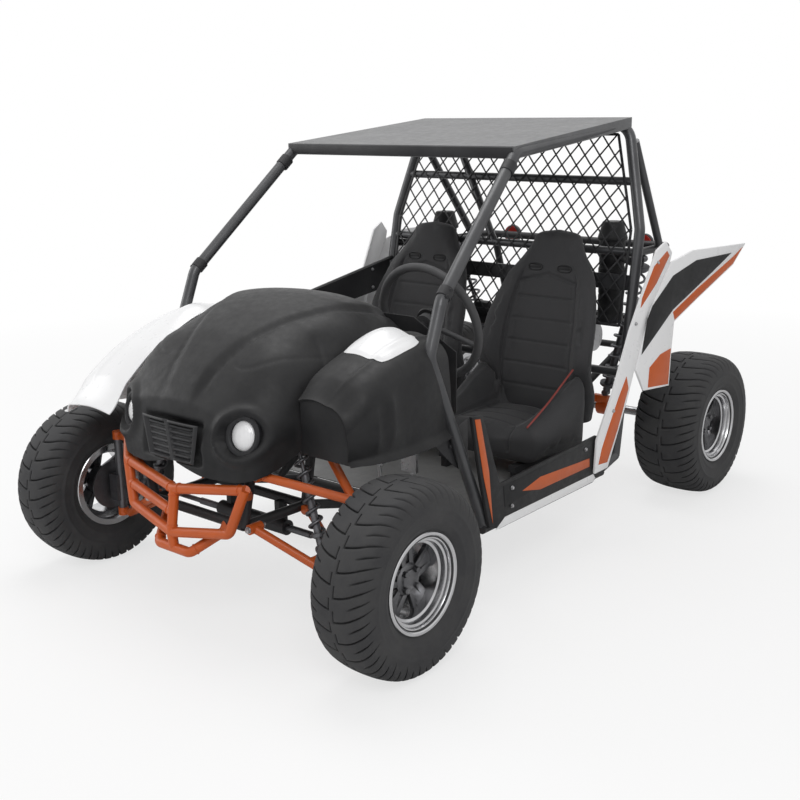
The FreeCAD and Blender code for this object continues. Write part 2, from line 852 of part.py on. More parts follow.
node("tie_rods", fuse("tie_rods", rods))

TILT = math.radians(size("steering_wheel_tilt"))
WHEEL = at(270, 648, 828)
AXIS = V(0, math.cos(TILT), math.sin(TILT))
hub_back = WHEEL - AXIS * 30
COLUMN_FOOT = WHEEL - AXIS * 313
column = rod("column_tube", WHEEL - AXIS * (30 + RUN), COLUMN_FOOT, 16)
lower_column = rod("column_lower", COLUMN_FOOT, at(70, 150, 400), 12)
column_box = fuse("column_tubes", [column, lower_column])
node("steering_column", cut("steering_column", column_box, front_clear))

ring = doc.addObject("Part::Torus", "wheel_ring")
ring.setExpression("Radius1", "Sizes.steering_wheel_radius")
ring.setExpression("Radius2", "Sizes.steering_wheel_grip / 2")
ring.Placement = FreeCAD.Placement(WHEEL, FreeCAD.Rotation(V(0, 0, 1), AXIS))
across = V(1, 0, 0)
upward = AXIS.cross(across)
wheel_parts = [ring, rod("wheel_hub", hub_back, WHEEL + AXIS * 4, 36)]
for angle in (200, 340, 90 + 180):
    way = across * math.cos(math.radians(angle)) + upward * math.sin(math.radians(angle))
    if upward.z < 0:
        way = across * math.cos(math.radians(angle)) - upward * math.sin(math.radians(angle))
    wheel_parts.append(
        rod("wheel_spoke", WHEEL - AXIS * 14, WHEEL + way * size("steering_wheel_radius"), 9)
    )
node("steering_wheel", fuse("steering_wheel", wheel_parts))

# Front bumper with skid loop
bumper = [
    [at(-338, -104, 548), at(-262, -170, 470), at(0, -208, 440), at(262, -170, 478)],
    [at(-262, -170, 470), at(-215, -195, 345), at(0, -228, 312), at(215, -195, 345), at(262, -170, 478)],
    [at(0, -208, 440), at(0, -228, 312)],
    [at(-240, -182, 405), at(0, -218, 372)],
    [at(-262, -170, 470), at(-223, NOSE_Y, 440)],
    [at(262, -170, 478), at(223, NOSE_Y, 440)],
    [at(-130, -140, 318), at(-70, -222, 262), at(70, -222, 262), at(130, -140, 318)],
    [at(0, -228, 312), at(0, -222, 262)],
    [at(-130, -140, 318), at(-130, NOSE_Y, LOW_Z)],
    [at(130, -140, 318), at(130, NOSE_Y, LOW_Z)],
]
bumper_tubes = tubes("bumper_tubes", bumper, "bumper_tube", 22)
node("front_bumper", cut("front_bumper", bumper_tubes, front_clear))


# Hood: a thin bulging shell, open below and behind
def hood_section(y, half, low, high, inset=0.0):
    """A closed arch across the hood. The inset makes the inner skin."""
    half = half - inset
    top = high - inset
    bottom = low - (40 if inset else 0)
    points = [at(-half * 0.97, y, bottom), at(half * 0.97, y, bottom)]
    steps = 12
    for step in range(steps + 1):
        angle = math.pi * step / steps
        x = half * math.copysign(abs(math.cos(angle)) ** 0.72, math.cos(angle))
        z = low + 40 + (top - low - 40) * math.sin(angle) ** 0.62
        points.append(at(x, y, z))
    return points


HOOD = (
    (-208, 95, 500, 610),
    (-178, 232, 500, 690),
    (-105, 300, 522, 780),
    (0, 330, 568, 862),
    (130, 345, 600, 920),
    (270, 352, 610, 945),
    (400, 358, 610, 930),
    (470, 358, 610, 905),
)
hood_outer = loft("hood_outer", [hood_section(*row) for row in HOOD])
inner_nose = (HOOD[0][0] + 8, 80, 505, 600)
inner_rear = (HOOD[-1][0] + 20, 358, 590, 903)
inner_rows = (inner_nose,) + HOOD[1:-1] + (inner_rear,)
hood_inner = loft("hood_inner", [hood_section(*row, inset=size("panel")) for row in inner_rows])
lamp_holes = []
for side in (-1, 1):
    lamp_holes.append(
        rod(
            "lamp_hole",
            at(side * 190, -260, 602),
            at(side * 190, -60, 602),
            "Sizes.lamp_radius + Sizes.gap",
        )
    )
node("hood", cut("hood", hood_outer, fuse("hood_cutter", [hood_inner, front_clear] + lamp_holes)))

# Headlamps
lamps = []
for side in (-1, 1):
    face = at(side * 190, -178, 602)
    lamps.append(rod("headlamp", face, face + V(0, 60, 0), "Sizes.lamp_radius"))
node("headlamps", fuse("headlamps", lamps))


# Front fenders: shoulders from the hood down over the inner half of each front tyre
FENDER = (
    (-190, 300, 430, 592, 605),
    (-115, 318, 500, 596, 690),
    (0, 332, 520, 600, 765),
    (130, 346, 528, 600, 815),
    (250, 354, 530, 560, 840),
    (380, 360, 515, 530, 838),
)


def fender_section(side, y, inner, outer, low, high, inset=0.0):
    """A closed shoulder across one fender. The inset makes the inner skin."""
    outer = outer - inset
    high = high - inset
    low = low - (60 if inset else 0)
    points = [at(side * (inner + inset), y, low), at(side * (inner + inset), y, high)]
    radius = min(70.0, (outer - inner) * 0.6, max(high - low, 12) * 0.8)
    for step in range(7):
        angle = math.pi / 2 * step / 6
        x = outer - radius + radius * math.sin(angle)
        points.append(at(side * x, y, high - radius + radius * math.cos(angle)))
    points.append(at(side * outer, y, low))
    return points


for side, name in ((1, "left"), (-1, "right")):
    rows = [(y, inner + 4, outer, low, high) for y, inner, outer, low, high in FENDER]
    outer_skin = loft("fender_outer_" + name, [fender_section(side, *row) for row in rows], True)
    hollow_rows = [(rows[0][0] + 6,) + rows[0][1:]] + rows[1:-1] + [(rows[-1][0] + 20,) + rows[-1][1:]]
    inner_skin = loft(
        "fender_inner_" + name,
        [fender_section(side, *row, inset=size("panel")) for row in hollow_rows],
        True,
    )
    node(
        "front_fender_" + name,
        cut(
            "front_fender_" + name,
            outer_skin,
            fuse("fender_cutter_" + name, [inner_skin, front_clear]),
        ),
    )

# Dash panel behind the hood, with the column's hole
dash = plate(
    "dash_plate",
    [
        at(x, HOOD[-1][0] + GAP, z)
        for x, z in ((-510, 600), (510, 600), (510, 790), (345, 880), (-345, 880), (-510, 790))
    ],
    V(0, size("panel"), 0),
)
dash_hole = rod("dash_hole", WHEEL, COLUMN_FOOT, 16 + 6)
node("dash_panel", cut("dash_panel", dash, dash_hole))

# Floor pan on the floor tubes
PAN_Z = FLOOR_Z + size("arm_tube") / 2 + GAP
PAN_TOP = PAN_Z + METAL
pan_spans = (2 * FLOOR_X - 54, FLOOR_Y1 - FLOOR_Y0 - 43, METAL)
pan = box("pan_sheet", at(-FLOOR_X + 27, FLOOR_Y0 + 9, PAN_Z), pan_spans)
node("floor_pan", pan)

# Sills: folded panels outside the side rails
for side, name in ((1, "left"), (-1, "right")):
    outer_x = FLOOR_X + TUBE + GAP
    outline = [
        at(side * outer_x, 505, 245),
        at(side * outer_x, 480, 385),
        at(side * outer_x, 470, 600),
        at(side * outer_x, 505, 600),
        at(side * outer_x, 560, 372),
        at(side * outer_x, 1140, 392),
        at(side * outer_x, 1190, 262),
        at(side * outer_x, 1120, 226),
        at(side * outer_x, 560, 226),
    ]
    node("sill_" + name, plate("sill_" + name, outline, V(side * 14, 0, 0)))

# Bucket seats: cushion with side bolsters and a winged back with a narrow head
SEAT_X = size("seat_centre")
SEAT_HALF = size("seat_width") / 2


def cushion_section(side, y, half, low, dish, rim):
    inner = half - 72
    centre = side * SEAT_X
    return [
        at(centre - half, y, low),
        at(centre + half, y, low),
        at(centre + half, y, rim),
        at(centre + half - 30, y, rim + 8),
        at(centre + inner, y, dish),
        at(centre - inner, y, dish),
        at(centre - half + 30, y, rim + 8),
        at(centre - half, y, rim),
    ]


def back_section(side, z, half, y, depth, wing):
    inner = max(half - 72, half * 0.55)
    centre = side * SEAT_X
    return [
        at(centre - half * 0.9, y + depth, z),
        at(centre + half * 0.9, y + depth, z),
        at(centre + half, y + depth * 0.5, z),
        at(centre + half, y - wing, z),
        at(centre + inner, y, z),
        at(centre - inner, y, z),
        at(centre - half, y - wing, z),
        at(centre - half, y + depth * 0.5, z),
    ]


CUSHION = (
    (860, 0.84, 330, 418, 424),
    (900, 0.93, 318, 432, 452),
    (1020, 0.98, 312, 428, 500),
    (1140, 1.0, 312, 424, 570),
    (1235, 1.0, 312, 430, 620),
)
HEAD_HALF = size("seat_head_width") / 2
HEAD_Z = size("seat_head_height")
BACK = (
    (360, SEAT_HALF * 0.96, 1215, 95, 2),
    (480, SEAT_HALF, 1232, 95, 30),
    (620, SEAT_HALF, 1255, 92, 95),
    (760, SEAT_HALF * 0.96, 1288, 85, 80),
    (900, SEAT_HALF * 0.80, 1325, 78, 40),
    (985, HEAD_HALF + 40, 1345, 72, 14),
    (HEAD_Z - 14, HEAD_HALF + 6, 1362, 68, 4),
    (HEAD_Z, HEAD_HALF - 8, 1372, 48, 0),
)
for side, name in ((1, "left"), (-1, "right")):
    cushion = loft(
        "cushion_" + name,
        [cushion_section(side, y, SEAT_HALF * k, low, dish, rim) for y, k, low, dish, rim in CUSHION],
        True,
    )
    back = loft("back_" + name, [back_section(side, *row) for row in BACK], True)
    slots = []
    for shift in (-62, 62):
        slots.append(box("harness_slot", at(side * SEAT_X + shift - 27, 1240, 915), (54, 220, 20)))
    node(
        "seat_" + name,
        cut("seat_" + name, fuse("seat_body_" + name, [cushion, back]), fuse("slots_" + name, slots)),
    )

# Seat runners: two rails with feet under each seat
runner_parts = []
for side in (-1, 1):
    for shift in (-150, 150):
        x = side * SEAT_X + shift
        runner_parts.append(box("runner_rail", at(x - 15, 880, 290), (30, 300, 22 - GAP)))
        for y in (890, 1130):
            runner_parts.append(box("runner_foot", at(x - 12, y, PAN_TOP), (24, 34, 290 - PAN_TOP)))
node("seat_runners", fuse("seat_runners", runner_parts))

# Pedals on a cross pin ahead of the driver's feet
pedal_parts = []
for x in (190, 330):
    pedal_parts.append(rod("pedal_stem", at(x, 500, PAN_TOP + 4), at(x, 470, PAN_TOP + 150), 7))
    pad = box("pedal_pad", at(x - 30, 458, PAN_TOP + 130), (60, 12, 70))
    pedal_parts.append(pad)
pedal_parts.append(rod("pedal_pin", at(160, 500, PAN_TOP + 12), at(360, 500, PAN_TOP + 12), 8))
node(
    "pedals",
    cut("pedals", fuse("pedals_joined", pedal_parts), fuse("pedal_cutter", [floor_clear, front_clear])),
)

# Side guard on the right: rail, lower bar and filled panels between pillar and hoop
guard_runs = [
    [at(-560, 395, 715), at(-560, 1013, 820), at(-560, 1440, 892)],
    [at(-560, 395, 640), at(-560, 1055, 739), at(-560, 1440, 790)],
    [at(-560, 900, 716), at(-560, 900, 801)],
]
guard = tubes("guard_tubes", guard_runs, "light_tube", 60)
# The filling sheet lies on the inner side of the rails
sheet_x = -560 + size("light_tube") / 2 + GAP
panel_points = [(480, 650), (1050, 734), (1410, 778), (1410, 892), (1013, 826), (480, 736)]
guard_panel = plate("guard_panel", [at(sheet_x, y, z) for y, z in panel_points], V(METAL, 0, 0))
guard_cutter = fuse(
    "guard_cutter",
    [tube("guard_pillar", pillar_points(-1), "cage_tube", 60, extra=GAP), hoop_clear],
)
guard_rails = cut("guard_rails", guard, guard_cutter)
node("side_guard_right", fuse("side_guard_right", [guard_rails, guard_panel]))

# Engine block between the rear frame's tubes, silencer behind it
engine = box("engine", at(-150, 1450, ENGINE_Z), (300, 300, 330))
node("engine", engine)
silencer = rod("silencer_can", at(-225, 1905, 560), at(150, 1905, 560), 58)
pipe = tube(
    "exhaust_pipe",
    [at(-100, 1905, 560), at(-100, 1905, 700), at(-100, 1750 + GAP, 700)],
    "frame_tube",
    45,
)
node("silencer", fuse("silencer", [silencer, pipe]))

# Capped canisters behind the seats, carried by the rear frame's rails
canister_parts = []
CAN_Y = 1590.0
CAN_X = rail_x(CAN_Y) - TUBE - 48 - GAP - 0.1
for side in (-1, 1):
    canister_parts.append(
        rod("canister_body", at(side * CAN_X, CAN_Y, 700), at(side * CAN_X, CAN_Y, 1010), 48)
    )
    cap = doc.addObject("Part::Cone", "canister_cap")
    cap.Radius1 = 56
    cap.Radius2 = 40
    cap.Height = 68
    cap.Placement.Base = at(side * CAN_X, CAN_Y, 1010)
    canister_parts.append(cap)
node("canisters", fuse("canisters", canister_parts))


# Rear fenders: a leg up the side of the cab and a blade swept back over the rear tyre
FLARE = math.radians(6)
LEG_Y = 1120.0
SILL_OUT = FLOOR_X + TUBE + GAP + 14
LEG_X = SILL_OUT + GAP + 12 * math.tan(FLARE)


def flared(side, along, z):
    """A point on the flared plane of one rear fender."""
    x = LEG_X + (along - LEG_Y) * math.tan(FLARE)
    return at(side * x, along, z)


LEG = (
    (1118, 382), (1198, 527), (1290, 741), (1435, 1004), (1489, 1030), (1529, 988), (1519, 954),
    (1404, 800), (1325, 594), (1288, 492), (1185, 268), (1110, 262),
)
BLADE = (
    (1325, 594), (1404, 800), (1519, 954), (1659, 983), (2024, 975), (1877, 867), (1680, 759),
    (1545, 649), (1537, 500), (1378, 510),
)
for side, name in ((1, "left"), (-1, "right")):
    out = V(side * 10, 0, 0)
    leg = plate("leg_" + name, [flared(side, *point) for point in LEG], out)
    blade = plate("blade_" + name, [flared(side, *point) + V(side * 6, 0, 0) for point in BLADE], out)
    node("rear_fender_" + name, fuse("rear_fender_" + name, [leg, blade]))

# Rear bumper and tail lamps
REAR_END = size("wheelbase") + size("rear_overhang")
tail_y = REAR_END - size("frame_tube") / 2
tail_runs = both([at(345, 1985, 640), at(345, tail_y, 600), at(300, tail_y, 470)])
tail_runs.append([at(-300, tail_y, 470), at(300, tail_y, 470)])
tail_runs.append([at(-345, tail_y, 600), at(345, tail_y, 600)])
tail = tubes("tail_tubes", tail_runs, "frame_tube", 40)
node("rear_bumper", cut("rear_bumper", tail, rear_clear))
tail_lamps = []
for side in (-1, 1):
    tail_lamps.append(
        rod("tail_lamp", at(side * 320, 1950 + TUBE + GAP, 952), at(side * 320, 1995, 952), 36)
    )
node("tail_lamps", fuse("tail_lamps", tail_lamps))


# Closing checks and export
def export(things):
    """Recomputes, checks every object and writes one STEP file for each node."""
    doc.recompute()
    failed = []
    for thing in doc.Objects:
        if "Invalid" in thing.State:
            failed.append("%s: %s" % (thing.Label, thing.getStatusString()))
    for thing in things:
        if thing.Shape.isNull() or not thing.Shape.isValid() or not thing.Shape.Solids:
            failed.append("%s: no valid solid" % thing.Label)
    if failed:
        raise RuntimeError("; ".join(failed))
    os.makedirs("parts", exist_ok=True)
    for thing in things:
        thing.Shape.exportStep("parts/%s.step" % thing.Label)


export(NODES)
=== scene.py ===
import json
from math import copysign, cos, exp, hypot, pi, radians, sin, sqrt, tan

import bpy
from mathutils import Matrix, Vector


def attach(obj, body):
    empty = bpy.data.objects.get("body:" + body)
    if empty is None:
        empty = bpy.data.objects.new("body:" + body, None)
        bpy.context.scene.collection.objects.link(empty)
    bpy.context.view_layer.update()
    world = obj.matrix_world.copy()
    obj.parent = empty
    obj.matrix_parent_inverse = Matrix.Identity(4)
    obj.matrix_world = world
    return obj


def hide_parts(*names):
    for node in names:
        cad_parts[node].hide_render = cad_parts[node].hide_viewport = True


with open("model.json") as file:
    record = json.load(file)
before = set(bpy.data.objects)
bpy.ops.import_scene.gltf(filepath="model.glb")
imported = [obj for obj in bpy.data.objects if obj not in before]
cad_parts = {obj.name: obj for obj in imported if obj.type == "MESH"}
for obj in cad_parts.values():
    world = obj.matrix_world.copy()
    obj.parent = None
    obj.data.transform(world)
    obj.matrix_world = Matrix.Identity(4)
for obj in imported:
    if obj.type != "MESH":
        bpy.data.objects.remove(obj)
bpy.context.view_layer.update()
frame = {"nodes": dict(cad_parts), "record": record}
nodes = frame["nodes"]

# The buggy faces -Y, and +X is its left. Lengths along it are counted back from the front axle.
FRONT = -0.9675
REAR = 0.9225
HUB = 0.275
LEFT = Vector((1, 0, 0))
BACK = Vector((0, 1, 0))
UP = Vector((0, 0, 1))
# Points nearer than this are merged
WELD = 0.00002
# Lathe profiles start and end this near to the axis
TIP = 0.0001
FRONT_TYRE_WIDTH = 0.204
REAR_TYRE_WIDTH = 0.259
SIDES = ((1, "left"), (-1, "right"))


def at(x, y, z):
    """A point with its y counted back from the front axle."""
    return Vector((x, FRONT + y, z))


# Camera, at the photograph's place
camera_data = bpy.data.cameras.new("camera")
camera_data.lens = 50.83
camera_data.sensor_width = 36
camera = bpy.data.objects.new("camera", camera_data)
bpy.context.collection.objects.link(camera)
bpy.context.scene.camera = camera
TURN = radians(40.1194)
DOWN = radians(14.5936)
ROLL = radians(-0.8389)
ahead = Vector((-sin(TURN) * cos(DOWN), cos(TURN) * cos(DOWN), -sin(DOWN)))
level = Vector((cos(TURN), sin(TURN), 0))
upright = level.cross(ahead)
across = cos(ROLL) * level + sin(ROLL) * upright
upright = across.cross(ahead)
facing = Matrix((across, upright, -ahead)).transposed().to_4x4()
camera.matrix_world = Matrix.Translation((2.5048, -3.1269, 1.5035)) @ facing
bpy.context.scene.view_settings.view_transform = "Standard"


# Edit helpers
def only(*things):
    """These objects are the selected ones, and the first is active."""
    if bpy.context.object and bpy.context.object.mode != "OBJECT":
        bpy.ops.object.mode_set(mode="OBJECT")
    bpy.ops.object.select_all(action="DESELECT")
    for thing in things:
        thing.select_set(True)
    bpy.context.view_layer.objects.active = things[0]


def named(name):
    piece = bpy.context.object
    piece.name = name
    piece.data.name = name
    return piece


def settle(piece):
    """The piece's place, turn and scale go into its mesh."""
    only(piece)
    bpy.ops.object.transform_apply(location=True, rotation=True, scale=True)
    return piece


def shape(piece, move):
    """Every point of the mesh goes where the function sends it."""
    for point in piece.data.vertices:
        point.co = move(point.co.copy())


def editing(piece):
    """Edit mode on this piece, with all of it selected."""
    only(piece)
    bpy.ops.object.mode_set(mode="EDIT")
    bpy.ops.mesh.select_all(action="SELECT")


def done(weld=False):
    """Turns the faces outwards and leaves edit mode. Weld first merges the points that meet."""
    bpy.ops.mesh.select_all(action="SELECT")
    if weld:
        bpy.ops.mesh.remove_doubles(threshold=WELD)
    bpy.ops.mesh.normals_make_consistent(inside=False)
    bpy.ops.object.mode_set(mode="OBJECT")


def apply(piece, kind, **values):
    """One modifier, added and applied."""
    only(piece)
    tool = piece.modifiers.new(kind.lower(), kind)
    for key, value in values.items():
        setattr(tool, key, value)
    bpy.ops.object.modifier_apply(modifier=tool.name)


def soften(piece, width):
    apply(piece, "BEVEL", width=width, segments=2, limit_method="ANGLE", angle_limit=radians(35))


def skinned(piece, thickness):
    """Gives an open skin its thickness, inwards."""
    apply(piece, "SOLIDIFY", thickness=thickness, offset=-1.0, use_rim=True)


def outward(piece):
    """Merges what meets and turns the faces outwards."""
    editing(piece)
    done(weld=True)


def facing_out(piece, centre):
    """Turns the faces of an open skin away from the centre."""
    outward(piece)
    total = sum((face.center - centre).dot(face.normal) * face.area for face in piece.data.polygons)
    if total < 0:
        piece.data.flip_normals()


def shell_piece(name, counts, place, core, thickness):
    """An open grid turned away from the core, with its thickness inwards."""
    skin = grid(name, *counts, place)
    facing_out(skin, core)
    skinned(skin, thickness)
    return skin


def copied(piece, name, matrix=None, flip=False):
    """A copy with its own mesh, moved by the matrix. Flip mirrors it across the buggy."""
    other = piece.copy()
    other.data = piece.data.copy()
    other.name = name
    other.data.name = name
    bpy.context.collection.objects.link(other)
    if flip:
        other.data.transform(Matrix.Scale(-1, 4, (1, 0, 0)))
        other.data.flip_normals()
    if matrix is not None:
        other.data.transform(matrix)
    return other


def joined(name, pieces):
    only(*pieces)
    if len(pieces) > 1:
        bpy.ops.object.join()
    return named(name)


def block(low, high, ease=0.002):
    """A block between two corners, with eased edges."""
    bpy.ops.mesh.primitive_cube_add(size=1, location=(low + high) / 2)
    piece = bpy.context.object
    piece.scale = high - low
    settle(piece)
    soften(piece, ease)
    return piece


def sheet_between(points, depth, ease=0.002):
    """A flat outline through the points, extruded by the vector depth, with eased edges."""
    bpy.ops.mesh.primitive_circle_add(vertices=len(points), radius=1, fill_type="NGON")
    piece = bpy.context.object
    settle(piece)
    for vertex, point in zip(piece.data.vertices, points):
        vertex.co = point
    editing(piece)
    bpy.ops.mesh.extrude_region_move(TRANSFORM_OT_translate={"value": depth})
    done()
    if ease:
        soften(piece, ease)
    return piece


def grid(name, across_count, along_count, place):
    """A grid whose points are set by place(u, v), with u and v from 0 to 1."""
    bpy.ops.mesh.primitive_grid_add(x_subdivisions=across_count, y_subdivisions=along_count, size=2)
    piece = named(name)
    settle(piece)
    shape(piece, lambda p: place((p.x + 1) / 2, (p.y + 1) / 2))
    return piece


def lathe(profile, steps):
    """A profile of (distance along X, radius) points, spun about X."""
    bpy.ops.mesh.primitive_circle_add(vertices=len(profile), radius=1)
    piece = bpy.context.object
    settle(piece)
    for vertex, (out, radius) in zip(piece.data.vertices, profile):
        vertex.co = Vector((out, 0, radius))
    editing(piece)
    bpy.ops.mesh.spin(steps=steps, angle=2 * pi, center=(0, 0, 0), axis=(1, 0, 0))
    done(weld=True)
    return piece


def finish_piece(piece, finish, body="chassis", replaces=(), angle=35, slot=None):
    """Material, shading and body of a finished piece. Finish None keeps its own materials. The slot is
    worked out but not used.
    """
    if finish is not None:
        piece.data.materials.clear()
        piece.data.materials.append(finishes[finish])
    only(piece)
    bpy.ops.object.shade_smooth_by_angle(angle=radians(angle))
    slot = slot or finish
    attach(piece, body)
    if replaces:
        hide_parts(*replaces)


def hexagon(radius, height, middle, ease):
    """A hexagon nut or head with its axis along X."""
    bpy.ops.mesh.primitive_cylinder_add(
        vertices=6, radius=radius, depth=height, location=middle, rotation=(0, pi / 2, 0),
    )
    piece = settle(bpy.context.object)
    soften(piece, ease)
    return piece


def side_plate(side, x, outline, thick, ease=0.002):
    """A flat plate in a plane across X, extruded away from the middle. The outline is (y, z) points."""
    return sheet_between([at(side * x, y, z) for y, z in outline], side * thick * LEFT, ease)


# Materials
def blank(name):
    material = bpy.data.materials.new(name)
    material.use_nodes = True
    tree = material.node_tree
    return material, tree, tree.nodes["Principled BSDF"]


def feed(tree, node, inputs):
    """Each socket is set to a value, or joined to another node's output."""
    for key, value in inputs.items():
        if isinstance(value, bpy.types.NodeSocket):
            tree.links.new(value, node.inputs[key])
        else:
            node.inputs[key].default_value = value


def wired(tree, kind, inputs=None, **settings):
    """A new node with its settings and its sockets."""
    made = tree.nodes.new(kind)
    for key, value in settings.items():
        setattr(made, key, value)
    feed(tree, made, inputs or {})
    return made


def colour(value):
    return (*value, 1.0)


def object_place(tree):
    return wired(tree, "ShaderNodeTexCoord").outputs["Object"]


def ramp(tree, source, stops):
    """A colour ramp: stops are (place, colour or grey)."""
    made = wired(tree, "ShaderNodeValToRGB", {"Fac": source})
    made.color_ramp.elements[0].position = stops[0][0]
    made.color_ramp.elements[-1].position = stops[-1][0]
    for place, _ in stops[1:-1]:
        made.color_ramp.elements.new(place)
    for element, (_, value) in zip(made.color_ramp.elements, stops):
        element.color = colour(value if isinstance(value, tuple) else (value, value, value))
    return made.outputs["Color"]


def noise(tree, scale, detail=3.0, rough=0.5):
    """Noise on the object's own coordinates."""
    sockets = {"Scale": scale, "Detail": detail, "Roughness": rough, "Vector": object_place(tree)}
    return wired(tree, "ShaderNodeTexNoise", sockets).outputs["Fac"]


def mixed(tree, share, first, second):
    """A mix of two colours, each plain or from another node."""
    made = wired(tree, "ShaderNodeMix", data_type="RGBA")
    colours = [socket for socket in made.inputs if socket.type == "RGBA"]
    tree.links.new(share, made.inputs["Factor"])
    for target, value in zip(colours, (first, second)):
        if isinstance(value, bpy.types.NodeSocket):
            tree.links.new(value, target)
        else:
            target.default_value = colour(value)
    return [socket for socket in made.outputs if socket.type == "RGBA"][0]


def bumped(tree, shader, height, strength, distance):
    """Fine relief from a height. Distance is in metres."""
    made = wired(tree, "ShaderNodeBump", {"Height": height, "Strength": strength, "Distance": distance})
    tree.links.new(made.outputs["Normal"], shader.inputs["Normal"])


def patchy(tree, patches, low, high, base, shade):
    """Base colour, with the shade where the patches are strong."""
    return mixed(tree, ramp(tree, patches, ((low, 0.0), (high, 1.0))), base, shade)


def lacquer(
    name, base, shade, rough, metallic=0.0, coat=0.0, grain=900.0, grain_depth=0.0004, dust=0.0, shine=0.5
):
    """Paint or moulded plastic: soft patches of shade, a fine grain, worn gloss, dust on top faces."""
    material, tree, shader = blank(name)
    base_colour = patchy(tree, noise(tree, 7.0, 4.0, 0.6), 0.35, 0.7, base, shade)
    if dust:
        normal = wired(tree, "ShaderNodeNewGeometry").outputs["Normal"]
        split = wired(tree, "ShaderNodeSeparateXYZ", {"Vector": normal})
        specks = noise(tree, 60.0, 6.0, 0.7)
        amount = wired(tree, "ShaderNodeMath", {0: split.outputs["Z"], 1: specks}, operation="MULTIPLY")
        share = wired(
            tree, "ShaderNodeMath", {0: amount.outputs[0], 1: dust}, operation="MULTIPLY", use_clamp=True,
        )
        base_colour = mixed(tree, share.outputs[0], base_colour, (0.32, 0.31, 0.29))
    streaks = noise(tree, 38.0, 5.0, 0.65)
    sockets = {
        "Base Color": base_colour,
        "Roughness": ramp(tree, streaks, ((0.3, rough[0]), (0.75, rough[1]))),
        "Metallic": metallic,
        "Coat Weight": coat,
        "Coat Roughness": 0.12,
        "Specular IOR Level": shine,
    }
    feed(tree, shader, sockets)
    bumped(tree, shader, noise(tree, grain, 2.0, 0.5), 0.35, grain_depth)
    return material


def brushed(name, base, shade, rough, pits=700.0):
    """Bare metal with tool marks and a few dull patches."""
    material, tree, shader = blank(name)
    marks = noise(tree, 90.0, 4.0, 0.6)
    sockets = {
        "Base Color": patchy(tree, noise(tree, 14.0, 5.0, 0.65), 0.3, 0.75, base, shade),
        "Roughness": ramp(tree, marks, ((0.3, rough[0]), (0.7, rough[1]))),
        "Metallic": 1.0,
    }
    feed(tree, shader, sockets)
    bumped(tree, shader, noise(tree, pits, 2.0, 0.5), 0.12, 0.0002)
    return material


def rubber(name):
    """Tyre rubber: charcoal with dusty patches and fine pores."""
    material, tree, shader = blank(name)
    patches = noise(tree, 9.0, 6.0, 0.65)
    dusty = ramp(tree, patches, ((0.38, 0.0), (0.72, 0.55)))
    sockets = {
        "Base Color": mixed(tree, dusty, (0.03, 0.03, 0.032), (0.075, 0.074, 0.073)),
        "Roughness": ramp(tree, patches, ((0.3, 0.62), (0.8, 0.85))),
        "Specular IOR Level": 0.35,
    }
    feed(tree, shader, sockets)
    bumped(tree, shader, noise(tree, 420.0, 4.0, 0.6), 0.5, 0.0008)
    return material


def cloth(name):
    """Seat cover: dark knitted cloth with a fine crossing weave."""
    material, tree, shader = blank(name)
    waves = []
    for turn in (0.785, -0.785):
        turned = wired(
            tree, "ShaderNodeMapping", {"Vector": object_place(tree), "Rotation": (turn, turn, 0.0)},
        )
        wave = wired(
            tree, "ShaderNodeTexWave", {"Vector": turned.outputs[0], "Scale": 260.0, "Distortion": 0.6},
        )
        waves.append(wave.outputs["Fac"])
    weave = wired(tree, "ShaderNodeMath", {0: waves[0], 1: waves[1]}, operation="MAXIMUM").outputs[0]
    patches = noise(tree, 11.0, 5.0, 0.6)
    tone = patchy(tree, patches, 0.35, 0.7, (0.022, 0.022, 0.024), (0.042, 0.041, 0.043))
    sockets = {
        "Base Color": mixed(tree, weave, (0.016, 0.016, 0.018), tone),
        "Roughness": ramp(tree, patches, ((0.3, 0.62), (0.8, 0.8))),
        "Sheen Weight": 0.15,
        "Sheen Roughness": 0.4,
    }
    feed(tree, shader, sockets)
    bumped(tree, shader, weave, 0.5, 0.0008)
    return material


def lens(name, tint, glint_colour):
    """Ribbed lamp glass; whiter noise patches in its base colour are painted glints of the reflector behind
    it.
    """
    material, tree, shader = blank(name)
    ribs = wired(
        tree, "ShaderNodeTexWave", {"Vector": object_place(tree), "Scale": 95.0, "Distortion": 0.2},
    )
    # Painted glints: noise patches where the base colour turns whiter
    glint = ramp(tree, noise(tree, 40.0), ((0.4, 0.0), (0.8, 0.6)))
    feed(
        tree, shader, {"Base Color": mixed(tree, glint, tint, glint_colour), "Roughness": 0.08, "Coat Weight": 0.8},
    )
    bumped(tree, shader, ribs.outputs["Fac"], 0.4, 0.001)
    return material


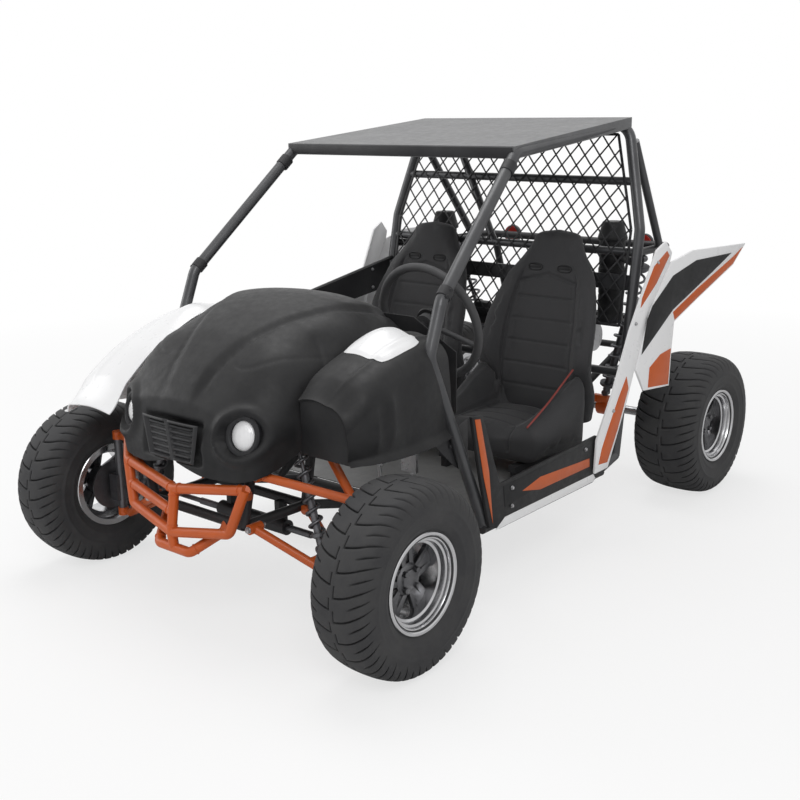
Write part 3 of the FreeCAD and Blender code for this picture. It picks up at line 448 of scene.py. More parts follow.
# Finish: (material, base colour, shade, least and most roughness, what else differs)
PAINTS = {
    "frame_black": (
        "frame_paint", (0.018, 0.018, 0.02), (0.032, 0.032, 0.034), (0.4, 0.56),
        {"dust": 0.06, "shine": 0.3},
    ),
    "cage_grey": (
        "cage_paint", (0.05, 0.051, 0.055), (0.075, 0.076, 0.08), (0.28, 0.42),
        {"metallic": 0.35, "coat": 0.1, "dust": 0.1},
    ),
    "orange_paint": (
        "orange_paint", (0.58, 0.105, 0.013), (0.5, 0.088, 0.011), (0.34, 0.5),
        {"coat": 0.1, "dust": 0.05, "shine": 0.4},
    ),
    "black_plastic": (
        "black_bodywork", (0.013, 0.013, 0.014), (0.026, 0.026, 0.027), (0.42, 0.6),
        {"dust": 0.04, "shine": 0.22},
    ),
    "white_plastic": (
        "white_bodywork", (0.88, 0.88, 0.885), (0.86, 0.86, 0.868), (0.26, 0.34),
        {"coat": 0.2, "grain_depth": 0.0001},
    ),
    "roof_grey": ("roof_paint", (0.115, 0.116, 0.12), (0.15, 0.151, 0.155), (0.45, 0.62), {"dust": 0.12}),
    "floor_metal": (
        "floor_sheet", (0.24, 0.24, 0.24), (0.18, 0.18, 0.18), (0.4, 0.6),
        {"metallic": 0.3, "dust": 0.15},
    ),
    "piping": (
        "seat_piping", (0.3, 0.045, 0.035), (0.22, 0.035, 0.028), (0.5, 0.65),
        {"grain": 600.0, "grain_depth": 0.0006},
    ),
    "wheel_grip": (
        "grip_foam", (0.035, 0.035, 0.037), (0.055, 0.055, 0.057), (0.55, 0.72),
        {"grain": 500.0, "grain_depth": 0.0009},
    ),
}
METALS = {
    "rim_metal": ("rim_alloy", (0.56, 0.56, 0.57), (0.47, 0.47, 0.48), (0.17, 0.27), {"pits": 400.0}),
    # The spokes' metal is darker than the rim's as painted shade, since they sit deep inside the rim
    "spoke_metal": ("spoke_metal", (0.16, 0.16, 0.165), (0.08, 0.08, 0.085), (0.25, 0.45), {}),
    "engine_metal": ("engine_casting", (0.16, 0.16, 0.17), (0.1, 0.1, 0.105), (0.4, 0.6), {"pits": 300.0}),
    "steel": ("bright_steel", (0.5, 0.5, 0.51), (0.36, 0.36, 0.37), (0.24, 0.42), {}),
}
finishes = {
    "tyre_rubber": rubber("tyre_rubber"),
    "seat_fabric": cloth("seat_cloth"),
    "lamp_glass": lens("lamp_glass", (0.93, 0.93, 0.94), (1.0, 1.0, 1.0)),
    "red_lens": lens("red_lens", (0.42, 0.02, 0.015), (0.6, 0.05, 0.03)),
}
for recipes, make in ((PAINTS, lacquer), (METALS, brushed)):
    for finish, (name, base, shade, rough, more) in recipes.items():
        finishes[finish] = make(name, base, shade, rough, **more)
slots = {part["node"]: part["material_slot"] for part in frame["record"]["subparts"]}
dark_running_gear = ("front_shocks", "rear_shocks", "knuckle_left", "knuckle_right", "tie_rods")
for name, thing in nodes.items():
    finish = finishes.get(slots.get(name)) or finishes["frame_black"]
    if name in dark_running_gear:
        finish = finishes["engine_metal"]
    thing.data.materials.clear()
    thing.data.materials.append(finish)


# Curves
def ease(edge_low, edge_high, value):
    """Goes softly from 0 at the low edge to 1 at the high edge."""
    share = min(max((value - edge_low) / (edge_high - edge_low), 0.0), 1.0)
    return share * share * (3 - 2 * share)


def groove(distance, width):
    """1 in the middle of a groove, 0 from its edges on."""
    return max(0.0, 1 - abs(distance) / width)


def blend_rows(rows, place):
    """Values between the rows, by a smooth curve through them. Each row starts with its place."""
    places = [row[0] for row in rows]
    place = min(max(place, places[0]), places[-1])
    index = max(i for i, start in enumerate(places[:-1]) if place >= start)
    share = (place - places[index]) / (places[index + 1] - places[index])
    before = rows[max(index - 1, 0)]
    first, last = rows[index], rows[index + 1]
    after = rows[min(index + 2, len(rows) - 1)]
    values = []
    for a, b, c, d in zip(before[1:], first[1:], last[1:], after[1:]):
        slope_in = (c - a) / 2
        slope_out = (d - b) / 2
        square = share * share
        cube = square * share
        leaving = b * (2 * cube - 3 * square + 1) + slope_in * (cube - 2 * square + share)
        values.append(leaving + c * (3 * square - 2 * cube) + slope_out * (cube - square))
    return values


# Wheels: balloon tyres with curved grooves, stepped rims with five spokes
def carcass_rows(width):
    """Half of the carcass, from the crown to the bead: (share, distance out, radius)."""
    half = width / 2
    return (
        (0.0, 0.0, 0.2748),
        (0.2, half * 0.4, 0.2728),
        (0.38, half * 0.7, 0.265),
        (0.52, half * 0.9, 0.2475),
        (0.66, half * 0.974, 0.218),
        (0.78, half * 0.974, 0.188),
        (0.9, half - 0.01, 0.16),
        (1.0, half - 0.0203, 0.1462),
    )


TREAD_PITCHES = 26
# Share of the way from crown to bead where the grooves end
TREAD_EDGE = 0.66
LONG_GROOVE = 0.0095
SHORT_GROOVE = 0.008
LUG_SWELL = 0.0022
# Where the points of half a pitch lie, and how deep a groove is at each.
PITCH_STOPS = (0.0, 0.02, 0.046, 0.075, 0.16, 0.25, 0.34, 0.425, 0.454, 0.48)
GROOVE_DEPTH = (1.0, 0.92, 0.12, 0.0, 0.0, 0.0, 0.0, 0.0, 0.0, 0.0)
TREAD_SHARES = (
    0.0, 0.022, 0.034, 0.046, 0.058, 0.07, 0.1, 0.14, 0.18, 0.22, 0.26, 0.3, 0.34, 0.38, 0.42, 0.46, 0.5,
    0.54, 0.58, 0.6, 0.62, 0.66,
)
WALL_SHARES = (0.69, 0.705, 0.72, 0.735, 0.76, 0.8, 0.84, 0.855, 0.87, 0.885, 0.92, 0.96, 1.0)
MOULDED_SHARES = (0.705, 0.72, 0.855, 0.87)


def tread_relief(share, half_step, short):
    """Depth below the carcass at one point: long and short grooves, a stepped middle groove, full lugs."""
    stops = len(PITCH_STOPS)
    near_long = half_step if not short else stops - half_step
    near_short = stops - near_long
    long_cut = GROOVE_DEPTH[near_long] if near_long < stops else 0.0
    short_cut = GROOVE_DEPTH[near_short] if near_short < stops else 0.0
    long_fade = ease(0.03, 0.06, share) * ease(TREAD_EDGE, 0.6, share)
    short_fade = ease(0.27, 0.32, share) * ease(0.6, 0.54, share)
    depth = LONG_GROOVE * long_cut * long_fade + SHORT_GROOVE * short_cut * short_fade
    if not short:
        depth += SHORT_GROOVE * groove(share - 0.046, 0.014)
    swell = sin(pi * (half_step / stops)) * ease(0.24, 0.44, share) * ease(0.68, 0.56, share)
    return depth - LUG_SWELL * swell


def tyre_piece(name, width):
    """The closed tyre about the origin, with the axle along X and shallow curved grooves."""
    half = width / 2
    rows = carcass_rows(width)
    path = []
    for share in TREAD_SHARES + WALL_SHARES:
        out, radius = blend_rows(rows, share)
        moulding = 0.0016 if share in MOULDED_SHARES else 0.0
        path.append((share, out + moulding, radius))
    path = [(-share, -out, radius) for share, out, radius in reversed(path[1:])] + path
    # Inner face, from one bead to the other
    lining = [(0.0203, 0.1273), (0.034, 0.1273), (0.03, 0.19), (0.036, 0.238)]
    path += [(1.2, half - inset, radius) for inset, radius in lining]
    path += [(1.2, -half + inset, radius) for inset, radius in reversed(lining)]
    path.append(path[0])
    stops = len(PITCH_STOPS)
    steps = TREAD_PITCHES * stops * 2

    def place(u, v):
        step = round(u * steps) % steps
        share, out, radius = path[round(v * (len(path) - 1))]
        offset = stops if share < 0 else 0
        pitch, inside = divmod(step + offset, stops * 2)
        short = inside >= stops
        half_step = inside - stops if short else inside
        turn = pitch + PITCH_STOPS[half_step] + (0.5 if short else 0.0) - (0.5 if offset else 0.0)
        skew = 0.17 * (min(abs(share), TREAD_EDGE) / 0.6) ** 1.5
        angle = 2 * pi * turn / TREAD_PITCHES + skew
        if abs(share) <= TREAD_EDGE:
            radius -= tread_relief(abs(share), half_step, short)
        return Vector((out, radius * sin(angle), radius * cos(angle)))

    piece = grid(name, steps, len(path) - 1, place)
    outward(piece)
    return piece


SPOKES = 5
WHEEL_NUTS = 4
# Each spoke is a pair of arms in front of a web
ARM = ((-0.004, 0.006, 0.034), (-0.004, 0.022, 0.034), (-0.014, 0.034, 0.106), (-0.014, 0.012, 0.106))
WEB = ((-0.01, 0.034), (0.01, 0.034), (0.02, 0.106), (-0.02, 0.106))


def rim_piece(name, width):
    """A rim about the origin. Its outer face looks along +X."""
    half = width / 2 - 0.016
    # Insets from the back edge and from the front edge, each with its radius
    back = (
        (0, 0.123), (0, 0.141), (0.002, 0.143), (0.004, 0.142), (0.006, 0.128), (0.026, 0.127),
        (0.038, 0.109),
    )
    front = (
        (0.046, 0.109), (0.03, 0.127), (0.006, 0.128), (0.004, 0.142), (0.002, 0.143), (0, 0.141),
        (0, 0.134), (0.003, 0.131), (0.007, 0.13), (0.008, 0.124), (0.012, 0.122), (0.018, 0.121),
        (0.02, 0.115), (0.026, 0.113), (0.034, 0.112), (0.037, 0.105), (0.08, 0.104),
    )
    profile = [(-half + inset, radius) for inset, radius in back]
    profile += [(half - inset, radius) for inset, radius in front]
    profile += [(-half + inset, radius) for inset, radius in ((0.036, 0.103), (0.024, 0.121))]
    barrel = lathe(profile, 96)
    face = half - 0.052
    hub = (
        (-0.03, TIP), (-0.03, 0.046), (-0.006, 0.046), (0, 0.04), (0, 0.03), (0.004, 0.028), (0.006, 0.024),
        (0.006, TIP),
    )
    pieces = [lathe([(face + out, radius) for out, radius in hub], 48)]
    for index in range(SPOKES):
        turn = Matrix.Rotation(2 * pi * index / SPOKES, 4, "X")
        for shift in (-1, 1):
            corners = [turn @ Vector((face + out, shift * y, z)) for out, y, z in ARM]
            pieces.append(sheet_between(corners, -0.014 * LEFT, 0.0016))
        corners = [turn @ Vector((face - 0.012, y, z)) for y, z in WEB]
        pieces.append(sheet_between(corners, -0.008 * LEFT, 0.001))
    for index in range(WHEEL_NUTS):
        angle = 2 * pi * (index + 0.5) / WHEEL_NUTS
        middle = Vector((face - 0.002, 0.033 * sin(angle), 0.033 * cos(angle)))
        pieces.append(hexagon(0.0085, 0.016, middle + 0.006 * LEFT, 0.0012))
    barrel.data.materials.append(finishes["rim_metal"])
    # Hub, spokes and nuts take a darker metal than the barrel: painted shade for their place deep inside
    # the rim
    for piece in pieces:
        piece.data.materials.append(finishes["spoke_metal"])
    return joined(name, [barrel] + pieces)


front_models = (tyre_piece("front_tyre", FRONT_TYRE_WIDTH), rim_piece("front_rim", FRONT_TYRE_WIDTH))
rear_models = (tyre_piece("rear_tyre", REAR_TYRE_WIDTH), rim_piece("rear_rim", REAR_TYRE_WIDTH))
# Name, body, tyre and rim, middle, CAD nodes that the rim replaces
wheels = (
    ("front_left", "wheel_front_left", front_models, (0.676, FRONT, HUB), ("rim_front_left",)),
    ("front_right", "wheel_front_right", front_models, (-0.676, FRONT, HUB), ("rim_front_right",)),
    ("rear_left", "rear_axle", rear_models, (0.605, REAR, HUB), ("rims_rear",)),
    ("rear_right", "rear_axle", rear_models, (-0.605, REAR, HUB), ()),
)
for name, body, (tyre_model, rim_model), centre, rim_nodes in wheels:
    move = Matrix.Translation(centre)
    tyre = copied(tyre_model, "tread_" + name, move, flip=centre[0] < 0)
    finish_piece(tyre, "tyre_rubber", body, ("tyre_" + name,), 40)
    rim = copied(rim_model, "rim_face_" + name, move, flip=centre[0] < 0)
    finish_piece(rim, None, body, rim_nodes, 30, "rim_metal")
only(*front_models, *rear_models)
bpy.ops.object.delete()

# Hood: a bulging shell with a raised middle panel, seams, lamp pods and a sunk grille in the nose
# Rows: along, half width, low edge, top
HOOD = (
    (-0.215, 0.004, 0.53, 0.585),
    (-0.208, 0.13, 0.5, 0.615),
    (-0.178, 0.262, 0.5, 0.7),
    (-0.105, 0.314, 0.522, 0.785),
    (0.0, 0.33, 0.568, 0.862),
    (0.13, 0.345, 0.6, 0.92),
    (0.27, 0.352, 0.61, 0.945),
    (0.4, 0.358, 0.61, 0.93),
    (0.47, 0.358, 0.61, 0.905),
)
LAMP = Vector((0.243, FRONT - 0.15, 0.628))


def hood_place(u, v):
    """The plain shell: an upright skirt on each side and a full arch between."""
    along = -0.215 + 0.685 * v * v
    half, low, high = blend_rows(HOOD, along)
    skirt = 0.08
    if u < skirt or u > 1 - skirt:
        side = 1 if u < skirt else -1
        share = u / skirt if u < skirt else (1 - u) / skirt
        return at(side * half * (0.97 + 0.03 * share), along, low + 0.04 * share)
    angle = pi * (u - skirt) / (1 - 2 * skirt)
    x = half * copysign(abs(cos(angle)) ** 0.78, cos(angle))
    z = low + 0.04 + (high - low - 0.04) * sin(angle) ** 0.66
    return at(x, along, z)


def hood_relief(p):
    """How far a point of the hood stands out of the plain shell."""
    x = abs(p.x)
    y = p.y - FRONT
    rise = 0.0
    # Raised middle panel, narrow at the nose
    edge = 0.055 + 0.16 * ease(-0.2, 0.35, y)
    rise += 0.01 * ease(edge + 0.02, edge - 0.006, x) * ease(-0.2, -0.12, y)
    # Cheeks over the lamps and haunches behind them
    rise += 0.016 * exp(-((x - 0.235) / 0.075) ** 2 - ((y + 0.03) / 0.075) ** 2)
    rise += 0.012 * exp(-((x - 0.26) / 0.08) ** 2 - ((y - 0.26) / 0.11) ** 2)
    # Hollow between cheek and haunch
    rise -= 0.014 * exp(-((x - 0.3) / 0.05) ** 2 - ((y - 0.11) / 0.05) ** 2)
    # Seams: one beside the middle panel, one round the cheek, one down the flank
    rise -= 0.005 * groove(x - edge - 0.026, 0.006) * ease(-0.16, -0.12, y)
    curve = -0.075 + 0.9 * (x - 0.16) ** 2 / 0.1
    rise -= 0.004 * groove(y - curve, 0.006) * ease(0.13, 0.15, x)
    rise -= 0.005 * groove(y - 0.085 - 0.25 * (p.z - 0.7), 0.006) * ease(0.25, 0.27, x)
    # Lamp pods: a raised ring round a dish
    reach = hypot(x - LAMP.x, p.z - LAMP.z)
    if y < 0.02:
        rise += 0.014 * exp(-((reach - 0.066) / 0.014) ** 2)
        rise -= 0.03 * ease(0.058, 0.048, reach)
    # Recess for the grille
    if y < -0.1:
        rise -= 0.02 * ease(0.128, 0.112, x) * ease(0.524, 0.534, p.z) * ease(0.655, 0.643, p.z)
    return rise


hood = grid("hood_shell", 150, 126, hood_place)
hood_core = at(0, 0.15, 0.55)
facing_out(hood, hood_core)
places = [(vertex.co.copy(), vertex.normal.copy()) for vertex in hood.data.vertices]
for vertex, (place, normal) in zip(hood.data.vertices, places):
    if normal.dot(place - hood_core) < 0:
        normal = -normal
    vertex.co = place + normal * hood_relief(place)
apply(hood, "SMOOTH", factor=0.5, iterations=2)
skinned(hood, 0.004)
finish_piece(hood, "black_plastic", replaces=("hood",), angle=60)


# Grille: a framed insert in the nose, with slats and a middle bar
def grille_place(u, v):
    """The frame stands proud, and the slats lie in its hollow."""
    x = (2 * u - 1) * (0.098 + 0.026 * v)
    edge = min(u, 1 - u, v, 1 - v)
    sink = 0.013 * ease(0.05, 0.1, edge) - 0.003 * ease(0.0, 0.03, edge)
    slat = 0.5 + 0.5 * cos(2 * pi * 7 * v)
    sink -= 0.008 * slat * ease(0.08, 0.12, edge)
    sink -= sink * ease(0.012, 0.007, abs(x + 0.02 * (v - 0.5)))
    front = -0.214 + 0.036 * (abs(x) / 0.262) ** 2.2
    return at(x, front - 0.002 + sink, 0.53 + 0.118 * v)


grille = shell_piece("nose_grille", (96, 112), grille_place, at(0, 0.1, 0.6), 0.003)
finish_piece(grille, "frame_black", angle=50)

# Headlamps: ribbed glass in a ring
GLASS = ((0.012, TIP), (0.01, 0.016), (0.004, 0.03), (-0.004, 0.038), (-0.02, 0.038), (-0.022, TIP))
RING = ((0.004, 0.039), (0.008, 0.043), (0.008, 0.05), (0.003, 0.054), (-0.018, 0.054), (-0.018, 0.039))
LAMP_OVAL = Matrix.Scale(1.12, 4, UP)
LAMP_TILT = Matrix.Rotation(radians(-14), 4, "X")
for side, name in SIDES:
    centre = Vector((side * LAMP.x, LAMP.y, LAMP.z))
    toe_out = Matrix.Rotation(radians(side * 16), 4, "Z")
    stand = Matrix.Translation(centre) @ toe_out @ LAMP_TILT @ Matrix.Rotation(radians(-90), 4, "Z")
    for label, profile, finish in (
        ("lamp_glass_", GLASS, "lamp_glass"), ("lamp_ring_", RING, "frame_black"),
    ):
        piece = lathe(profile, 48)
        piece.data.transform(LAMP_OVAL)
        piece.data.transform(stand)
        piece.name = label + name
        finish_piece(piece, finish, replaces=("headlamps",) if piece.name == "lamp_glass_left" else ())

# Front fenders: shoulders with a rolled lip, ribs on the flank and a crease along the top
# Rows: along, inner edge, outer edge, low edge, top
NEAR_FENDER = (
    (-0.03, 0.34, 0.52, 0.562, 0.72),
    (0.03, 0.344, 0.548, 0.56, 0.775),
    (0.1, 0.348, 0.558, 0.556, 0.808),
    (0.18, 0.354, 0.56, 0.552, 0.832),
    (0.29, 0.36, 0.56, 0.552, 0.848),
    (0.38, 0.364, 0.552, 0.556, 0.845),
)
FAR_FENDER = (
    (-0.2, 0.3, 0.52, 0.586, 0.612),
    (-0.116, 0.318, 0.556, 0.584, 0.69),
    (0.0, 0.336, 0.562, 0.572, 0.765),
    (0.13, 0.35, 0.564, 0.556, 0.818),
    (0.25, 0.358, 0.562, 0.543, 0.842),
    (0.38, 0.364, 0.552, 0.53, 0.845),
)


def fender_place(u, v, rows, lift=0.0):
    """Across u: the top, the rounded shoulder, then the flank. Along v: from front to back."""
    along = rows[0][0] + (rows[-1][0] - rows[0][0]) * v
    inner, outer, low, high = blend_rows(rows, along)
    radius = min(0.07, (outer - inner) * 0.5, max(high - low, 0.012) * 0.8)
    top_end = 0.42
    bend_end = 0.68
    if u < top_end:
        share = u / top_end
        x = inner + (outer - radius - inner) * share
        z = high + 0.01 * sin(pi * share)
    elif u < bend_end:
        angle = pi / 2 * (u - top_end) / (bend_end - top_end)
        x = outer - radius + radius * sin(angle)
        z = high - radius + radius * cos(angle)
    else:
        share = (u - bend_end) / (1 - bend_end)
        x = outer + 0.008 * sin(pi * share) * min(1.0, (high - low) / 0.2)
        z = high - radius + (low - high + radius) * share
        # Rolled lip at the bottom edge
        x += 0.016 * ease(0.86, 1.0, share)
    # Vertical ribs on the flank, a crease along the shoulder and a hump on the top
    rib = exp(-((along - 0.05) / 0.014) ** 2) + exp(-((along - 0.11) / 0.016) ** 2)
    x += 0.007 * rib * ease(0.62, 0.75, u) * ease(0.97, 0.86, u)
    z += 0.006 * exp(-((u - 0.4) / 0.03) ** 2) * ease(0.0, 0.2, v)
    z += 0.026 * exp(-((along - 0.24) / 0.09) ** 2 - ((u - 0.16) / 0.2) ** 2)
    return at(x, along, z + lift)


FENDER_CORE = at(0.42, 0.1, 0.5)
fenders = (("left", NEAR_FENDER, "black_plastic"), ("right", FAR_FENDER, "white_plastic"))
for name, rows, finish in fenders:
    skin = shell_piece("fender_skin", (72, 80), lambda u, v: fender_place(u, v, rows), FENDER_CORE, 0.004)
    cover = copied(skin, "fender_cover_" + name, flip=name == "right")
    finish_piece(cover, finish, replaces=("front_fender_" + name,), angle=50)
    only(skin)
    bpy.ops.object.delete()

# The near fender is closed towards the front by a plain wall
rim_line = [fender_place(step / 30, 0.02, NEAR_FENDER, -0.001) for step in range(31)]
front_wall = sheet_between(rim_line + [at(0.343, -0.022, 0.562)], 0.004 * BACK, 0.0008)
front_wall.name = "fender_front_wall"
finish_piece(front_wall, "black_plastic")


# The near fender carries a white cover on its top
def cap_place(u, v):
    """The cover, with rounded corners and an edge that lies on the fender."""
    round_u = 0.5 + (u - 0.5) * (1 - 0.12 * abs(2 * v - 1) ** 4)
    round_v = 0.5 + (v - 0.5) * (1 - 0.12 * abs(2 * u - 1) ** 4)
    edge = min(u, 1 - u, v, 1 - v)
    return fender_place(
        0.01 + 0.48 * round_u, 0.38 + 0.45 * round_v, NEAR_FENDER, 0.002 + 0.005 * ease(0.0, 0.08, edge),
    )


cap = shell_piece("fender_cap_left", (30, 36), cap_place, FENDER_CORE, 0.003)
finish_piece(cap, "white_plastic", angle=50)

# Rear fenders: a leg up the cab's side and a blade swept back, with a black inlay and orange trim
FLARE = tan(radians(6))


def flared(side, along, z, out=0.0):
    """A point on the rear fender's plane, which leans out towards the rear."""
    x = 0.6156 + 0.012 * FLARE + (along - 1.12) * FLARE + out
    return at(side * x, along, z)


LEG = (
    (1.118, 0.382), (1.198, 0.527), (1.29, 0.741), (1.435, 1.004), (1.489, 1.03), (1.529, 0.988),
    (1.519, 0.954), (1.404, 0.8), (1.325, 0.594), (1.288, 0.492), (1.185, 0.268), (1.11, 0.262),
)
BLADE = (
    (1.325, 0.594), (1.404, 0.8), (1.519, 0.954), (1.659, 0.983), (2.024, 0.975), (1.939, 0.9), (1.7, 0.8),
    (1.553, 0.735), (1.545, 0.649), (1.537, 0.5), (1.378, 0.51),
)
INLAY = (
    (1.408, 0.812), (1.53, 0.905), (1.678, 0.945), (1.921, 0.948), (1.797, 0.892), (1.54, 0.782),
    (1.352, 0.645), (1.378, 0.765),
)
LOW_PANEL = ((1.4, 0.518), (1.528, 0.508), (1.536, 0.64), (1.47, 0.628), (1.405, 0.59))
EDGE_STRIPE = (
    (1.553, 0.742), (1.7, 0.806), (1.935, 0.905), (2.0, 0.962), (1.93, 0.93), (1.69, 0.838), (1.54, 0.772),
)
LEG_STRIPE = ((1.494, 0.996), (1.51, 0.978), (1.436, 0.888), (1.345, 0.812), (1.352, 0.846), (1.418, 0.95))
LEG_WEDGE = (
    (1.276, 0.58), (1.29, 0.535), (1.232, 0.395), (1.178, 0.29), (1.128, 0.292), (1.144, 0.345),
    (1.18, 0.415), (1.232, 0.51),
)


def flared_plate(side, outline, base, thick, ease):
    """A flat plate on the rear fender's plane, its inner face at the height base."""
    return sheet_between([flared(side, y, z, base) for y, z in outline], side * thick * LEFT, ease)


# Name, outline, height of the inner face, thickness, eased edge, finish
TRIMS = (
    ("fender_inlay_", INLAY, 0.0155, 0.002, 0.0012, "black_plastic"),
    ("fender_low_", LOW_PANEL, 0.0155, 0.002, 0.0012, "orange_paint"),
    ("fender_edge_", EDGE_STRIPE, 0.0155, 0.0016, 0.0006, "orange_paint"),
    ("leg_stripe_", LEG_STRIPE, 0.0098, 0.0016, 0.0006, "orange_paint"),
    ("leg_wedge_", LEG_WEDGE, 0.0098, 0.0016, 0.0006, "orange_paint"),
)
for side, name in SIDES:
    leg = flared_plate(side, LEG, 0.0, 0.01, 0.003)
    blade = flared_plate(side, BLADE, 0.006, 0.01, 0.003)
    shell = joined("fender_shell_" + name, [leg, blade])
    finish_piece(shell, "white_plastic", replaces=("rear_fender_" + name,))
    for label, outline, base, thick, eased, finish in TRIMS:
        panel = flared_plate(side, outline, base, thick, eased)
        panel.name = label + name
        finish_piece(panel, finish)

# Sills: black folded panels with an orange wedge, a bare white strip and an orange strip up the front post
SILL_X = 0.6003
SILL = (
    (0.505, 0.245), (0.458, 0.41), (0.412, 0.618), (0.468, 0.612), (0.56, 0.372), (1.14, 0.392),
    (1.19, 0.262), (1.12, 0.226), (0.56, 0.226),
)
FOLD = ((0.575, 0.362), (1.105, 0.381), (1.105, 0.33), (0.585, 0.29))
STRIPS = (
    ("sill_wedge_", "orange_paint",
     ((0.677, 0.318), (0.782, 0.338), (1.09, 0.322), (1.092, 0.292), (0.783, 0.294))),
    ("sill_strip_", "white_plastic",
     ((0.534, 0.229), (0.586, 0.258), (1.12, 0.258), (1.134, 0.24), (1.118, 0.23))),
    ("post_strip_", "orange_paint",
     ((0.425, 0.608), (0.452, 0.604), (0.498, 0.43), (0.52, 0.256), (0.47, 0.42))),
)
for side, name in SIDES:
    body_panel = side_plate(side, SILL_X, SILL, 0.0125, 0.003)
    fold = side_plate(side, SILL_X + 0.011, FOLD, 0.003, 0.0014)
    panel = joined("sill_panel_" + name, [body_panel, fold])
    finish_piece(panel, "black_plastic", replaces=("sill_" + name,))
    for label, finish, outline in STRIPS:
        strip = side_plate(side, SILL_X + 0.012, outline, 0.0022, 0.0008)
        strip.name = label + name
        finish_piece(strip, finish)


# Shared small forms
def aimed(piece, start, way):
    """Moves a form made about the X axis so that X points along way from start."""
    piece.data.transform(Matrix.Translation(start) @ way.to_track_quat("X", "Z").to_matrix().to_4x4())
    return piece


def collar(start, way, inner, outer, length):
    """A ring round a tube, with eased edges."""
    edge = (outer - inner) * 0.4
    profile = [
        (0, inner), (0, outer - edge), (edge, outer), (length - edge, outer), (length, outer - edge),
        (length, inner),
    ]
    return aimed(lathe(profile, 24), start, way)


def bolt(start, way, size=0.008):
    """A hexagon head on a washer."""
    washer = lathe([(0, TIP), (0, size * 1.25), (size * 0.25, size * 1.2), (size * 0.25, TIP)], 20)
    head = hexagon(size, size * 0.8, (size * 0.6, 0, 0), size * 0.1)
    return aimed(joined("bolt", [washer, head]), start, way)


def strand(name, points, radius, sides=3):
    """A thin round line through the points, as a mesh."""
    data = bpy.data.curves.new(name, "CURVE")
    data.dimensions = "3D"
    line = data.splines.new("NURBS")
    line.points.add(len(points) - 1)
    for point, place in zip(line.points, points):
        point.co = (*place, 1.0)
    line.order_u = 3
    line.use_endpoint_u = True
    data.bevel_depth = radius
    data.bevel_resolution = sides
    data.use_fill_caps = True
    piece = bpy.data.objects.new(name, data)
    bpy.context.collection.objects.link(piece)
    only(piece)
    bpy.ops.object.convert(target="MESH")
    return named(name)


# Seats: a winged back with a narrow head, and a cushion with side bolsters, blown up as cloth
SEAT_X = 0.286
# Rows: height, half width, front face, depth, how far the wings stand forward
BACK_ROWS = (
    (0.366, 0.23, 1.224, 0.084, 0.0),
    (0.48, 0.239, 1.24, 0.085, 0.024),
    (0.62, 0.24, 1.264, 0.083, 0.084),
    (0.76, 0.23, 1.296, 0.077, 0.072),
    (0.9, 0.19, 1.333, 0.069, 0.034),
    (0.985, 0.128, 1.352, 0.063, 0.01),
    (1.045, 0.096, 1.366, 0.056, 0.002),
    (1.068, 0.084, 1.374, 0.045, 0.0),
)
# Rows: along, half width, underside, dished middle, top of the bolsters
CUSHION_ROWS = (
    (0.868, 0.205, 0.338, 0.41, 0.416),
    (0.905, 0.226, 0.326, 0.424, 0.448),
    (1.02, 0.238, 0.32, 0.422, 0.5),
    (1.14, 0.242, 0.32, 0.418, 0.566),
    (1.232, 0.242, 0.32, 0.424, 0.612),
)


def end_scale(v, share):
    """Closes a form at both ends with a rounded edge."""
    near = min(v, 1 - v) / share
    return 1.0 if near >= 1 else sqrt(max(0.0, 1 - (1 - near) ** 2))


def back_place(u, v):
    """The seat's back: a ring of points u round it at each height v."""
    z = BACK_ROWS[0][0] + (BACK_ROWS[-1][0] - BACK_ROWS[0][0]) * v
    half, front, depth, wing = blend_rows(BACK_ROWS, z)
    across = cos(2 * pi * u)
    edge = (1 - abs(across) ** 4) ** 0.25
    side = ease(0.48, 0.88, abs(across))
    middle = front + depth / 2 - wing * side * 0.9
    thick = depth / 2 * (1 - 0.2 * side)
    y = middle + (thick if u > 0.5 else -thick) * edge
    scale = end_scale(v, 0.035)
    core = front + depth / 2
    return at(SEAT_X + half * across * scale, core + (y - core) * scale, z)


def cushion_place(u, v):
    """The seat's cushion: a ring of points u round it at each place v along it."""
    along = CUSHION_ROWS[0][0] + (CUSHION_ROWS[-1][0] - CUSHION_ROWS[0][0]) * v
    half, low, dish, rim = blend_rows(CUSHION_ROWS, along)
    across = cos(2 * pi * u)
    edge = (1 - abs(across) ** 6) ** (1 / 6)
    side = ease(0.46, 0.86, abs(across))
    top = dish + (rim - dish) * side + 0.012 * max(0.0, 1 - (across / 0.5) ** 2)
    core = low + 0.045
    z = core + ((top - core) if u < 0.5 else (low - core)) * edge
    scale = end_scale(v, 0.1)
    return at(SEAT_X + half * across * scale, along, core + (z - core) * scale)


CLOTH_FRAMES = 20
# The cloth moves no further than this
REACH = 0.009


def padded(name, place, sewn):
    """A closed pad: remeshed, blown up as cloth, and sewn along its channels."""
    pad = grid(name, 72, 60, place)
    outward(pad)
    apply(pad, "REMESH", mode="VOXEL", voxel_size=0.0082)
    before = [vertex.co.copy() for vertex in pad.data.vertices]
    only(pad)
    swell = pad.modifiers.new("cloth", "CLOTH")
    swell.settings.use_pressure = True
    swell.settings.uniform_pressure_force = 4
    swell.settings.effector_weights.gravity = 0
    for count in range(1, CLOTH_FRAMES + 1):
        bpy.context.scene.frame_set(count)
    only(pad)
    bpy.ops.object.modifier_apply(modifier=swell.name)
    bpy.context.scene.frame_set(1)
    for vertex, start in zip(pad.data.vertices, before):
        move = vertex.co - start
        if move.length > REACH:
            vertex.co = start + move * (REACH / move.length)
    apply(pad, "SUBSURF", levels=1)
    places = [(vertex.co.copy(), vertex.normal.copy()) for vertex in pad.data.vertices]
    for vertex, (point, normal) in zip(pad.data.vertices, places):
        vertex.co = point - normal * sewn(point, normal)
    return pad


